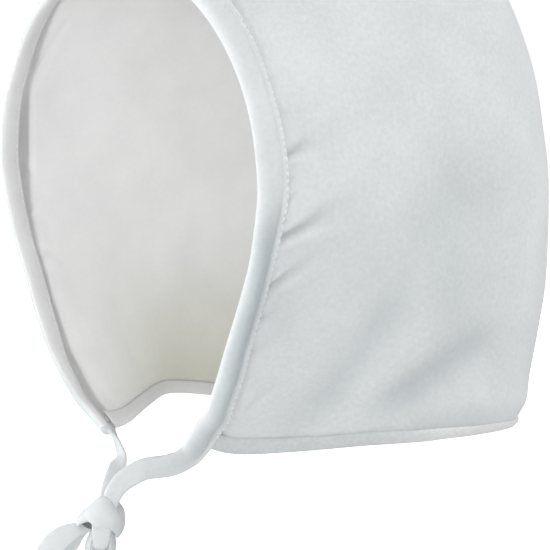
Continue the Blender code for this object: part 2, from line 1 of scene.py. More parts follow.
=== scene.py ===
"""Christening bonnet in white cotton sateen, dressed for a studio picture.

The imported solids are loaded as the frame. Every piece of cloth is then made at
its real size in the same place: the two halves of the cap, the strip folded
round the face edge that runs on into the chin ties, the satin strip round the
neck edge, the bow under the chin, and the stitches that hold them together.
The wearer faces -Y and the wearer's left is +X. Tables give shares of named
sizes; lengths inside the functions are millimetres until a mesh is made.
"""

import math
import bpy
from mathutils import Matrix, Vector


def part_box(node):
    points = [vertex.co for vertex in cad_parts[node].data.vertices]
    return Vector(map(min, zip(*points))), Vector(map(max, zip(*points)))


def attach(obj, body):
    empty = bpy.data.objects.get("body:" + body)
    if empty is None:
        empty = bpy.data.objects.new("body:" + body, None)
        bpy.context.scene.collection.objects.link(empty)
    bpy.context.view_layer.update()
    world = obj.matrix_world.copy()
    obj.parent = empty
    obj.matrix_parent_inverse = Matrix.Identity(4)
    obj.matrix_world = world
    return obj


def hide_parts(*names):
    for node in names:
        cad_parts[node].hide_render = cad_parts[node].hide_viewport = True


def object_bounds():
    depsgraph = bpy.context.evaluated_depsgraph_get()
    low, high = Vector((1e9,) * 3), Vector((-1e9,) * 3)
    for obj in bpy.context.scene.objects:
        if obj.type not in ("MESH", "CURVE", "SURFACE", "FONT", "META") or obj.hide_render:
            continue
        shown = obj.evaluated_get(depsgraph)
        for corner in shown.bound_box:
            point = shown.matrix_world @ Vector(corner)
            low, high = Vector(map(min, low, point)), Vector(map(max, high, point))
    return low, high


bl_info = {
    "name": "Christening Bonnet",
    "version": (1, 0, 0),
    "blender": (4, 5, 0),
    "location": "View3D > Sidebar > Bonnet",
    "description": "Cloth, seams, stitches, bow and studio for a baby's bonnet",
    "category": "Object",
}

import bmesh
import bpy
import numpy as np
from bpy.props import FloatProperty, FloatVectorProperty, PointerProperty
from bpy.types import Operator, Panel, PropertyGroup
from mathutils import Vector

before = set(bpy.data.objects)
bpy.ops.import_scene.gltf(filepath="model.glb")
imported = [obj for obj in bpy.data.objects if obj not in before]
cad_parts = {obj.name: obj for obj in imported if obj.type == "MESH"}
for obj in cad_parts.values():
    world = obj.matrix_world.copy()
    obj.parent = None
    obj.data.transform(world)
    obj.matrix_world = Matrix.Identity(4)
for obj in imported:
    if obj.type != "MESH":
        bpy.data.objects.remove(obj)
CAD_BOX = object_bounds()
MM = 0.001

LEFT_PANEL_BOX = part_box("left_side_panel")

# Form of the cap, as shares of its sizes
WIDEST_DEPTH_SHARE = 0.532
WIDEST_HEIGHT_SHARE = 0.553
LOWER_REACH_SHARE = 0.996
FACE_NARROWING = 0.045
MOST_FORWARD = 1.4
DRAW_FADE_SHARE = 0.434
PLAN_ROUNDNESS = 2.35
FRONT_ARCH_ROUNDNESS = 2.2
BACK_ARCH_ROUNDNESS = 2.4
LOWER_ROUNDNESS = 2.0
FACE_EDGE = (
    # height share, depth share
    (-0.02, -0.026),
    (0.19, -0.014),
    (0.37, -0.001),
    (0.55, -0.002),
    (0.70, -0.001),
    (0.80, 0.004),
    (0.885, 0.022),
    (0.945, 0.042),
    (1.035, 0.070),
)
CORNER_DRAW = (
    # height share, share of the half width lost at the face edge
    (0.43, 0.0),
    (0.52, 0.0),
    (0.615, 0.055),
    (0.705, 0.155),
    (0.795, 0.27),
    (0.855, 0.365),
    (0.915, 0.50),
    (0.976, 0.67),
    (1.066, 0.80),
)
LOWER_EDGE = (
    # depth share, height share on the wearer's left, the same on the right
    (-0.14, 0.958, 0.946),
    (0.042, 0.973, 0.979),
    (0.14, 0.997, 0.984),
    (0.252, 0.995, 0.968),
    (0.364, 0.984, 0.959),
    (0.462, 0.982, 0.964),
    (0.616, 0.986, 0.984),
    (0.875, 0.998, 0.998),
    (1.12, 1.0, 1.0),
)

# How the worn cloth stands off the plain form
FAR_FLARE = (
    # height share, push of the wearer's right cheek in millimetres
    (0.0, 0.4),
    (0.15, 1.4),
    (0.23, 2.0),
    (0.31, 2.8),
    (0.39, 4.1),
    (0.47, 3.1),
    (0.545, 1.3),
    (0.62, 0.7),
    (0.72, 0.7),
    (0.80, 2.0),
    (0.86, 3.9),
    (0.91, 5.0),
    (0.97, 7.9),
    (1.05, 8.2),
)
NEAR_DRAW = (
    # height share, how far the left face edge is drawn back in millimetres
    (0.50, 0.0),
    (0.58, 0.0),
    (0.65, 0.9),
    (0.75, 1.5),
    (0.90, 1.6),
    (1.05, 1.4),
)
NEAR_DRAW_FADE = 30.0
FAR_FLARE_FADE = 45.0
FAR_FLARE_START = 24.0
BACK_TRIM = (
    # height share, push of the back in millimetres
    (0.0, 0.0),
    (0.10, -0.6),
    (0.25, -1.4),
    (0.40, -1.2),
    (0.52, -0.4),
    (0.62, 0.1),
    (0.75, 0.8),
    (0.85, -0.3),
    (0.92, -1.4),
    (1.0, -2.6),
)
BACK_TRIM_START = 0.55
BACK_TRIM_SPREAD = 0.30
LEAST_LEAN = 0.5
NECK_DROP = (
    # depth share, how far the left side's fold of the neck strip hangs below the edge in mm
    (0.0, -1.8),
    (0.05, -0.9),
    (0.09, 0.6),
    (0.13, 1.3),
    (0.3, 0.9),
    (0.45, 0.2),
    (0.6, -0.5),
    (0.8, -1.2),
    (1.1, -1.5),
)
NECK_SHADE = (
    # depth share, how much painted shade lies on the satin of the left side
    (-0.1, 0.35),
    (0.05, 0.55),
    (0.30, 0.90),
    (0.40, 0.70),
    (0.50, 0.15),
    (0.70, 0.10),
    (0.85, 0.0),
    (1.1, 0.0),
)

# Divisions of the meshes and steps of the searches
PANEL_COLUMNS = 24
PANEL_ROWS = 22
PANEL_DOUBLINGS = 3
COARSE_PASSES = 12
FINE_PASSES = 3
BINDING_SEGMENTS = 440
NECK_SEGMENTS = 300
HALVINGS = 32
LINE_SAMPLES = 120
CROSSING_ROUNDS = 3
CROSSING_SAMPLES = 30
NORMAL_STEP = 0.05
HEM_ORIGIN = 40.0
LOWEST_FACE_ANGLE = math.radians(-84.0)
CROWN_TURN_ANGLE = math.radians(50.0)

# Line of the seam behind the face binding, and the hollow beside its welt
SEAM_LINE = (
    # height share, setback as a share of the binding's width
    (0.0, 1.06),
    (0.20, 1.06),
    (0.36, 1.08),
    (0.44, 1.20),
    (0.52, 1.17),
    (0.58, 1.02),
    (0.65, 0.90),
    (0.75, 0.93),
    (0.87, 1.01),
    (1.05, 1.06),
)
ROLL_HOLLOW = (
    # height share, depth of the hollow and puff of the roll in millimetres
    (0.0, 0.0, 0.0),
    (0.48, 0.02, 0.05),
    (0.53, 0.16, 0.25),
    (0.60, 0.55, 0.60),
    (0.66, 0.72, 0.85),
    (0.78, 0.55, 0.95),
    (0.90, 0.38, 0.80),
    (1.05, 0.20, 0.45),
)
# Creases that run into the cloth from a seam, as shares of depth and height
CREASES = (
    # side, from depth, height, to depth, height, breadth and sink in millimetres
    (1, 0.055, 0.314, 0.115, 0.290, 2.2, 0.32),
    (1, 0.064, 0.372, 0.086, 0.364, 1.6, 0.40),
    (1, 0.068, 0.443, 0.130, 0.425, 1.8, 1.80),
    (1, 0.095, 0.440, 0.240, 0.370, 4.5, 0.42),
    (1, 0.064, 0.492, 0.086, 0.487, 0.9, 1.40),
    (1, 0.062, 0.521, 0.084, 0.517, 0.9, 1.20),
    (1, 0.050, 0.595, 0.172, 0.548, 2.2, 2.10),
    (1, 0.120, 0.574, 0.260, 0.505, 4.5, 0.45),
    (1, 0.046, 0.684, 0.150, 0.630, 2.1, 1.90),
    (1, 0.044, 0.742, 0.100, 0.722, 1.5, 1.10),
    (1, 0.054, 0.806, 0.125, 0.765, 2.4, 0.70),
    (1, 0.118, 0.906, 0.150, 0.852, 1.9, 0.42),
    (-1, 0.086, 0.265, 0.034, 0.432, 2.0, -0.75),
    (-1, 0.030, 0.507, 0.075, 0.503, 1.8, -0.60),
    (-1, 0.046, 0.600, 0.110, 0.590, 2.2, -0.70),
    (-1, 0.046, 0.664, 0.105, 0.662, 2.0, -0.60),
    (-1, 0.040, 0.700, 0.085, 0.694, 1.8, -0.45),
)
# Broad soft folds that fade at both ends
BROAD_FOLDS = (
    # side, from depth, height, to depth, height, breadth and sink in millimetres
    (1, 0.225, 0.960, 0.352, 0.700, 6.6, 1.45),
    (1, 0.335, 0.915, 0.615, 0.800, 6.4, 2.10),
    (1, 0.300, 0.925, 0.470, 0.740, 5.0, -0.45),
    (1, 0.540, 0.780, 0.460, 0.480, 21.0, 1.20),
    (-1, 0.210, 0.940, 0.330, 0.620, 8.0, 0.90),
    (-1, 0.120, 0.830, 0.190, 0.560, 8.0, -0.55),
    (-1, 0.364, 0.930, 0.520, 0.600, 9.0, 0.80),
    (-1, 0.300, 0.560, 0.270, 0.200, 9.0, 0.45),
    (-1, 0.160, 0.500, 0.190, 0.180, 7.0, -0.40),
    (1, 0.800, 0.900, 0.880, 0.640, 10.0, 0.55),
    (-1, 0.760, 0.920, 0.870, 0.620, 11.0, 0.60),
)
# Slow waves of cloth that has been worn: wavelength, amplitude and three directions
CLOTH_WAVES = (
    # wavelength mm, amplitude mm, lean along x, y and z, phase
    (62.0, 0.30, 0.3, 0.8, 0.5, 0.4),
    (47.0, 0.22, -0.5, 0.4, 0.8, 2.1),
    (33.0, 0.12, 0.2, -0.9, 0.4, 1.3),
    (21.0, 0.06, 0.6, 0.5, -0.7, 3.3),
    (14.0, 0.03, -0.2, 0.9, 0.6, 5.1),
)

# Section of the face binding: shares of the seam's setback with heights over the cloth,
# how much of the hollow and of the puff each takes, how much of a stitch's dimple and of painted shade
ROLL_SECTION = (
    # setback share, height mm, hollow share, puff share, dimple share, painted shade share
    (1.000, -1.05, 0.0, 0.0, 0.0, 1.0),
    (0.993, -0.40, 0.0, 0.0, 0.1, 1.0),
    (0.980, 0.30, 0.0, 0.0, 0.6, 0.1),
    (0.945, 0.78, 0.0, 0.0, 1.0, 0.0),
    (0.890, 0.95, 0.0, 0.0, 1.0, 0.0),
    (0.840, 0.78, 0.05, 0.0, 0.6, 0.0),
    (0.805, 0.54, 0.30, 0.0, 0.2, 0.1),
    (0.770, 0.42, 0.75, 0.05, 0.0, 0.35),
    (0.710, 0.52, 0.95, 0.22, 0.0, 0.6),
    (0.640, 0.76, 0.85, 0.50, 0.0, 0.8),
    (0.550, 1.06, 0.48, 0.82, 0.0, 0.95),
    (0.440, 1.30, 0.20, 1.0, 0.0, 1.0),
    (0.330, 1.42, 0.05, 1.0, 0.0, 1.0),
    (0.220, 1.36, 0.0, 0.85, 0.0, 1.0),
    (0.110, 1.06, 0.0, 0.60, 0.0, 0.90),
    (0.015, 0.52, 0.0, 0.30, 0.0, 0.65),
    (-0.060, -0.14, 0.0, 0.10, 0.0, 0.35),
    (-0.098, -0.80, 0.0, 0.0, 0.0, 0.10),
)
INNER_LEG_SECTION = (
    # share of the inner width, height mm, dimple share
    (-0.145, -1.30, 0.0),
    (-0.095, -1.82, 0.0),
    (0.04, -2.22, 0.0),
    (0.20, -2.40, 0.0),
    (0.40, -2.44, 0.0),
    (0.62, -2.36, 0.0),
    (0.80, -2.06, -1.0),
    (0.88, -2.02, -1.0),
    (0.96, -2.00, 0.0),
    (1.00, -1.25, 0.0),
)
# Cloth inside the fold, which isn't seen
HIDDEN_LEG = (
    # share of the inner width, height mm, dimple share
    (0.92, -1.28, 0.0),
    (0.55, -1.30, 0.0),
    (0.28, -1.34, 0.0),
)
HIDDEN_FRONT = (
    # share of the binding's width, height mm
    (0.22, -0.98),
    (0.60, -1.00),
)
NECK_SECTION = (
    # rise as a share of the band's width, height mm, dimple share
    (1.00, -0.75, 0.0),
    (0.985, -0.10, 0.0),
    (0.94, 0.36, 0.6),
    (0.86, 0.58, 1.0),
    (0.70, 0.70, 0.3),
    (0.50, 0.76, 0.0),
    (0.30, 0.70, 0.0),
    (0.13, 0.42, 0.0),
    (0.03, -0.10, 0.0),
    (0.00, -0.80, 0.0),
    (0.03, -1.55, 0.0),
    (0.13, -2.15, 0.0),
    (0.32, -2.48, 0.0),
    (0.55, -2.55, 0.0),
    (0.80, -2.42, -0.8),
    (0.95, -2.25, 0.0),
    (1.02, -1.80, 0.0),
    (0.92, -1.66, 0.0),
    (0.40, -1.66, 0.0),
    (0.40, -0.05, 0.0),
    (0.85, -0.20, 0.0),
)

# Bow, turned 50 degrees to the wearer's left: directions across it, up, and the way it faces
BOW_TURN = np.array([(0.643, 0.766, 0.0), (0.0, 0.0, 1.0), (0.766, -0.643, 0.0)])
KNOT_SQUARENESS = 0.85
TABLE_TIE_WIDTH = 6.0
LEAD_SEGMENTS = 20
LEAD_RINGS = 6
LEG_MIDDLE_ROW = 4
FLAT_EDGE_POWERS = (6, 0.6)
TIE_START_THICKNESS = 2.8
STRAP_SIDES = 22
KNOT_SHEET_ROWS = 60
KNOT_SHEET_COLUMNS = 44
KNOT_CLOTH = 0.9
KNOT_EDGE_POWERS = (8, 30)
KNOT_EDGE_SHARE = 0.08
STRAP_STEPS = 90
STRAP_WIDE_POWER = 0.55
STRAP_THICK_POWER = 0.75
LEFT_FADE_SHARE = 0.30
RIGHT_FADE_SHARE = 0.20
CORNER_RISE = 2.8
INNER_CORNER_RISE = 1.2
CORNER_RISE_START = 0.35
HIDDEN_WIDE = (-0.9, -0.3, 0.3, 0.3, -0.3)
HIDDEN_THICK = (-0.10, -0.12, -0.12, 0.12, 0.12)

# Stations of the straps in the bow's frame, in millimetres from the knot's middle, with
# the strap's width and thickness and the way that its broad face looks
LEFT_TIE = (
    # across, up, near, width, thickness, facing across, up, near
    (25.7, 16.6, -2.9, 7.6, 2.3, 0.30, -0.40, 0.86),
    (21.3, 14.2, -1.6, 7.3, 1.9, 0.14, -0.20, 0.97),
    (17.4, 13.6, -0.2, 6.8, 1.6, 0.0, 0.0, 1.0),
    (14.4, 13.4, 0.8, 6.7, 1.4, -0.06, 0.06, 0.99),
    (11.8, 12.9, 1.6, 6.6, 1.4, -0.10, 0.10, 0.99),
    (9.0, 11.5, 2.1, 6.5, 1.4, -0.08, 0.10, 0.99),
    (6.4, 9.8, 2.3, 6.2, 1.4, -0.04, 0.06, 0.99),
    (4.5, 7.9, 2.4, 5.8, 1.4, 0.0, 0.10, 0.99),
    (2.9, 5.1, 2.3, 5.4, 1.4, 0.05, 0.24, 0.97),
    (2.2, 3.0, 2.1, 5.0, 1.4, 0.05, 0.30, 0.95),
    (1.6, 1.0, 1.9, 4.6, 1.3, 0.0, 0.25, 0.96),
)
RIGHT_TIE = (
    # across, up, near, width, thickness, facing across, up, near
    (1.9, 20.3, -27.6, 3.4, 1.7, -0.76, -0.56, 0.10),
    (2.5, 19.2, -25.0, 4.2, 1.6, -0.86, -0.46, 0.16),
    (3.3, 18.0, -21.6, 4.8, 1.5, -0.90, -0.26, 0.34),
    (4.2, 16.5, -16.8, 5.2, 1.4, -0.86, -0.06, 0.50),
    (4.6, 14.6, -12.0, 5.2, 1.3, -0.42, 0.08, 0.91),
    (3.9, 12.1, -8.6, 5.2, 1.2, -0.10, 0.08, 0.99),
    (2.7, 9.2, -5.4, 5.1, 1.2, -0.08, 0.10, 0.99),
    (1.8, 6.4, -3.0, 4.9, 1.2, -0.05, 0.20, 0.97),
    (1.3, 3.4, -1.8, 4.6, 1.2, 0.0, 0.25, 0.96),
    (1.2, 1.2, -1.6, 4.2, 1.2, 0.0, 0.25, 0.96),
)
WIDE_LOOP = (
    # across, up, near, width, thickness, facing across, up, near
    (-2.2, -3.9, -0.5, 2.2, 1.2, -0.10, 0.40, 0.90),
    (-4.4, -4.8, 0.2, 2.7, 1.2, -0.10, 0.40, 0.90),
    (-7.1, -5.1, 1.0, 4.1, 1.2, -0.10, 0.36, 0.93),
    (-9.7, -6.0, 1.6, 5.8, 1.2, -0.12, 0.30, 0.94),
    (-12.6, -7.6, 2.1, 6.7, 1.2, -0.14, 0.20, 0.96),
    (-14.8, -9.8, 2.3, 7.3, 1.2, -0.18, 0.10, 0.97),
    (-16.5, -12.6, 2.2, 7.4, 1.2, -0.25, 0.0, 0.96),
    (-17.8, -15.8, 1.7, 7.2, 1.2, -0.34, -0.15, 0.92),
    (-18.7, -18.7, 0.8, 7.0, 1.2, -0.50, -0.45, 0.72),
    (-18.9, -20.2, -0.6, 6.8, 1.2, -0.60, -0.78, 0.05),
    (-18.0, -19.2, -2.2, 6.7, 1.2, -0.40, -0.52, -0.75),
    (-15.6, -16.4, -2.7, 6.5, 1.2, -0.10, -0.10, -0.99),
    (-12.6, -12.9, -2.3, 6.2, 1.2, 0.04, 0.02, -1.0),
    (-9.7, -9.4, -1.8, 5.6, 1.2, 0.08, 0.04, -0.99),
    (-7.9, -6.8, -1.4, 4.8, 1.2, 0.10, 0.06, -0.99),
    (-5.6, -4.5, -1.2, 4.0, 1.2, 0.10, 0.08, -0.99),
)
HANGING_LOOP = (
    # across, up, near, width, thickness, facing across, up, near
    (2.0, -4.6, 1.2, 3.8, 1.2, 0.93, 0.10, 0.36),
    (2.5, -6.6, 1.3, 4.2, 1.2, 0.92, 0.10, 0.38),
    (2.8, -9.2, 1.1, 4.7, 1.2, 0.93, 0.02, 0.36),
    (2.6, -12.4, 0.9, 4.9, 1.2, 0.94, -0.10, 0.30),
    (2.1, -15.8, 0.7, 5.0, 1.2, 0.92, -0.28, 0.24),
    (1.1, -18.6, 0.6, 5.0, 1.2, 0.72, -0.66, 0.16),
    (-0.6, -20.0, 0.5, 5.0, 1.2, 0.05, -0.99, 0.08),
    (-2.5, -18.7, 0.3, 5.0, 1.2, -0.74, -0.64, 0.14),
    (-3.9, -15.6, 0.1, 5.0, 1.2, -0.93, -0.24, 0.24),
    (-4.5, -12.2, 0.0, 4.9, 1.2, -0.94, 0.06, 0.30),
    (-4.2, -9.2, 0.0, 4.6, 1.2, -0.90, 0.30, 0.32),
    (-3.2, -6.8, 0.2, 4.2, 1.2, -0.84, 0.44, 0.30),
    (-1.8, -4.8, 0.4, 3.8, 1.2, -0.80, 0.50, 0.30),
)
SHORT_END = (
    # across, up, near, width, thickness, facing across, up, near
    (-0.1, -1.6, 2.4, 5.4, 1.2, 0.0, 0.30, 0.95),
    (-0.25, -3.4, 3.3, 5.9, 1.2, 0.0, 0.36, 0.93),
    (-0.35, -5.4, 3.9, 5.7, 1.2, 0.02, 0.12, 0.99),
    (-0.45, -7.6, 4.0, 5.2, 1.2, 0.02, -0.02, 1.0),
    (-0.50, -9.3, 3.8, 4.5, 1.2, 0.02, -0.12, 0.99),
    (-0.45, -10.4, 3.4, 3.5, 1.1, 0.0, -0.28, 0.96),
)
LONG_END = (
    # across, up, near, width, thickness, facing across, up, near
    (-0.4, -1.0, -3.0, 4.4, 1.2, 0.0, -0.10, -0.99),
    (-0.4, -3.6, -4.6, 5.0, 1.2, 0.0, 0.10, -0.99),
    (-0.6, -8.0, -5.6, 5.6, 1.2, 0.04, 0.06, -1.0),
    (-0.9, -14.5, -6.2, 6.0, 1.2, 0.08, 0.02, -1.0),
    (-1.5, -22.5, -6.2, 6.1, 1.2, 0.16, 0.0, -0.99),
    (-2.1, -31.0, -5.6, 6.1, 1.2, 0.10, 0.02, -0.99),
    (-2.3, -39.0, -5.0, 6.0, 1.2, 0.0, 0.04, -1.0),
    (-1.7, -47.6, -4.6, 5.9, 1.2, -0.04, 0.03, -1.0),
)
KNOT_BACK_BAND = (
    # across, up, near, width, thickness, facing across, up, near
    (1.6, 3.4, -1.2, 3.0, 1.0, 0.45, 0.80, 0.40),
    (3.7, 2.3, -1.0, 3.8, 1.1, 0.70, 0.60, 0.36),
    (5.1, 0.4, -0.9, 4.4, 1.2, 0.86, 0.34, 0.34),
    (5.55, -2.0, -0.9, 4.6, 1.2, 0.93, 0.05, 0.34),
    (5.4, -4.3, -0.8, 4.4, 1.2, 0.90, -0.22, 0.34),
    (4.7, -6.3, -0.6, 3.8, 1.1, 0.78, -0.48, 0.38),
    (3.8, -7.6, -0.3, 2.9, 1.0, 0.66, -0.64, 0.38),
)
# Sheets of the knot by rows of points in the bow's frame: across, up and near in millimetres
KNOT_WRAP = (
    # from its hidden start at the back over the top and down the front to its turned edge
    ((-0.6, 3.2, -1.6), (0.3, 3.6, -1.2), (1.2, 3.5, -1.0), (2.2, 3.0, -1.0), (3.0, 2.4, -1.0)),
    ((-1.2, 4.3, 0.6), (-0.1, 4.8, 1.9), (0.9, 4.6, 2.5), (1.9, 4.0, 2.6), (2.7, 3.2, 2.2)),
    ((-3.1, 3.0, 1.2), (-1.6, 3.4, 2.9), (0.2, 3.3, 3.8), (2.1, 2.6, 3.8), (3.8, 1.4, 2.5)),
    ((-4.9, 1.1, 1.3), (-3.2, 1.5, 3.4), (-0.4, 1.4, 4.6), (2.6, 0.7, 4.4), (5.0, -0.6, 2.4)),
    ((-5.7, -0.3, 1.5), (-3.9, -0.3, 3.6), (-0.7, -0.7, 4.9), (3.0, -1.2, 4.7), (5.55, -2.6, 2.2)),
    ((-4.9, -1.4, 2.7), (-3.6, -1.7, 3.9), (-0.8, -2.3, 5.0), (3.0, -3.2, 4.6), (5.4, -4.9, 2.2)),
    ((-3.7, -2.3, 3.5), (-2.6, -2.8, 4.3), (-0.2, -3.5, 4.8), (2.7, -4.6, 4.0), (4.9, -6.9, 2.0)),
    ((-3.5, -1.9, 2.8), (-2.4, -2.3, 3.4), (-0.1, -2.9, 3.7), (2.4, -3.9, 2.9), (4.3, -6.1, 1.2)),
    ((-3.0, -0.9, 1.6), (-2.0, -1.3, 2.0), (0.0, -1.8, 2.2), (2.0, -2.6, 1.6), (3.4, -4.4, 0.4)),
)
KNOT_LIP = (
    # the fold that shows to the left of the wrap, from its hidden root to its rim
    ((-3.4, 1.6, -0.6), (-4.2, 0.9, -1.0), (-4.8, -0.2, -1.2), (-5.0, -1.6, -1.2), (-4.8, -2.6, -1.0)),
    ((-4.6, 1.2, 0.4), (-5.6, 0.3, 0.0), (-6.4, -0.7, -0.2), (-6.9, -1.8, -0.2), (-7.0, -2.8, 0.0)),
    ((-4.8, 0.3, 1.7), (-5.9, -0.4, 1.3), (-6.9, -1.3, 1.0), (-7.7, -2.3, 0.8), (-8.0, -3.2, 0.8)),
    ((-4.0, -1.0, 2.9), (-5.0, -1.3, 2.6), (-6.1, -1.9, 2.2), (-7.1, -2.7, 1.8), (-7.9, -3.6, 1.3)),
    ((-3.1, -2.2, 3.0), (-4.6, -2.2, 2.9), (-5.9, -2.6, 2.5), (-7.0, -3.2, 2.1), (-7.6, -3.9, 1.5)),
    ((-3.0, -1.8, 2.2), (-4.4, -1.8, 2.2), (-5.6, -2.2, 1.8), (-6.7, -2.8, 1.4), (-7.2, -3.4, 0.9)),
)
KNOT_CORE = (-0.9, -2.3, -0.3)
KNOT_CORE_HALF = (6.0, 3.4, 2.4)
# Where the knot's core shows between the wrap and the lip, painted in shadow
KNOT_OPENING = (-2.5, -0.6)
KNOT_OPENING_EDGE = 1.0


class BonnetSizes(PropertyGroup):
    half_width: FloatProperty(
        name="Half Width",
        description="Half of the cap's width over its cloth",
        default=LEFT_PANEL_BOX[1][0],
        unit="LENGTH",
    )
    depth: FloatProperty(
        name="Depth",
        description="From the face edge to the back of the cap",
        default=LEFT_PANEL_BOX[1][1],
        unit="LENGTH",
    )
    height: FloatProperty(
        name="Height",
        description="From the crown down to the edge at the nape",
        default=0.1656,
        unit="LENGTH",
    )
    wall: FloatProperty(
        name="Cloth",
        description="Thickness of the cap's doubled cloth",
        default=0.0016,
        unit="LENGTH",
    )
    face_top_drop: FloatProperty(
        name="Face Top Drop",
        description="How far the face edge lies below the crown",
        default=0.018,
        unit="LENGTH",
    )
    binding_width: FloatProperty(
        name="Binding Width",
        description="Width of the face binding on the outside",
        default=0.0078,
        unit="LENGTH",
    )
    binding_inner_width: FloatProperty(
        name="Binding Inner Width",
        description="Width of the face binding on the inside",
        default=0.0054,
        unit="LENGTH",
    )
    neck_width: FloatProperty(
        name="Neck Binding Width",
        description="Width of the satin strip along the neck edge",
        default=0.0040,
        unit="LENGTH",
    )
    tie_width: FloatProperty(
        name="Tie Width",
        description="Width of the folded chin ties",
        default=0.0060,
        unit="LENGTH",
    )
    stitch_pitch: FloatProperty(
        name="Stitch Pitch",
        description="Distance from one stitch to the next",
        default=0.0022,
        unit="LENGTH",
    )


class BonnetLooks(PropertyGroup):
    sateen: FloatVectorProperty(
        name="Sateen",
        description="Colour of the outside cloth",
        subtype="COLOR",
        min=0.0,
        max=1.0,
        default=(0.770, 0.800, 0.810),
    )
    inside: FloatVectorProperty(
        name="Inside",
        description="Colour of the cloth's inner face",
        subtype="COLOR",
        min=0.0,
        max=1.0,
        default=(0.890, 0.892, 0.892),
    )
    satin: FloatVectorProperty(
        name="Satin",
        description="Colour of the neck binding",
        subtype="COLOR",
        min=0.0,
        max=1.0,
        default=(0.925, 0.940, 0.930),
    )
    thread: FloatVectorProperty(
        name="Thread",
        description="Colour of the sewing thread",
        subtype="COLOR",
        min=0.0,
        max=1.0,
        default=(0.930, 0.955, 0.960),
    )
    weave_pitch: FloatProperty(
        name="Weave Pitch",
        description="Distance between the weave's twill lines",
        default=0.00055,
        unit="LENGTH",
        precision=5,
    )


def ease(t):
    t = np.clip(t, 0.0, 1.0)
    return t * t * (3 - 2 * t)


def unit(vectors):
    return vectors / np.linalg.norm(vectors, axis=-1, keepdims=True)


def table_column(table, column, at):
    """Read a table smoothly at a position given in its first column."""
    rows = np.array(table, float)
    rows = rows[np.argsort(rows[:, 0])]
    keys = rows[:, 0]
    values = rows[:, column]
    slopes = np.gradient(values, keys)
    at = np.clip(at, keys[0], keys[-1])
    right = np.clip(np.searchsorted(keys, at, side="right"), 1, len(keys) - 1)
    left = right - 1
    span = keys[right] - keys[left]
    t = (at - keys[left]) / span
    rise = t * t * (3 - 2 * t)
    start = values[left] * (1 - rise) + values[right] * rise
    bend = slopes[left] * t * (1 - t) ** 2 - slopes[right] * t * t * (1 - t)
    return start + bend * span


def travelled(points, axis=0):
    """Length along lines of points in one direction, starting from zero."""
    steps = np.linalg.norm(np.diff(points, axis=axis), axis=-1)
    start = np.zeros_like(np.take(steps, [0], axis=axis))
    return np.concatenate([start, np.cumsum(steps, axis=axis)], axis=axis)


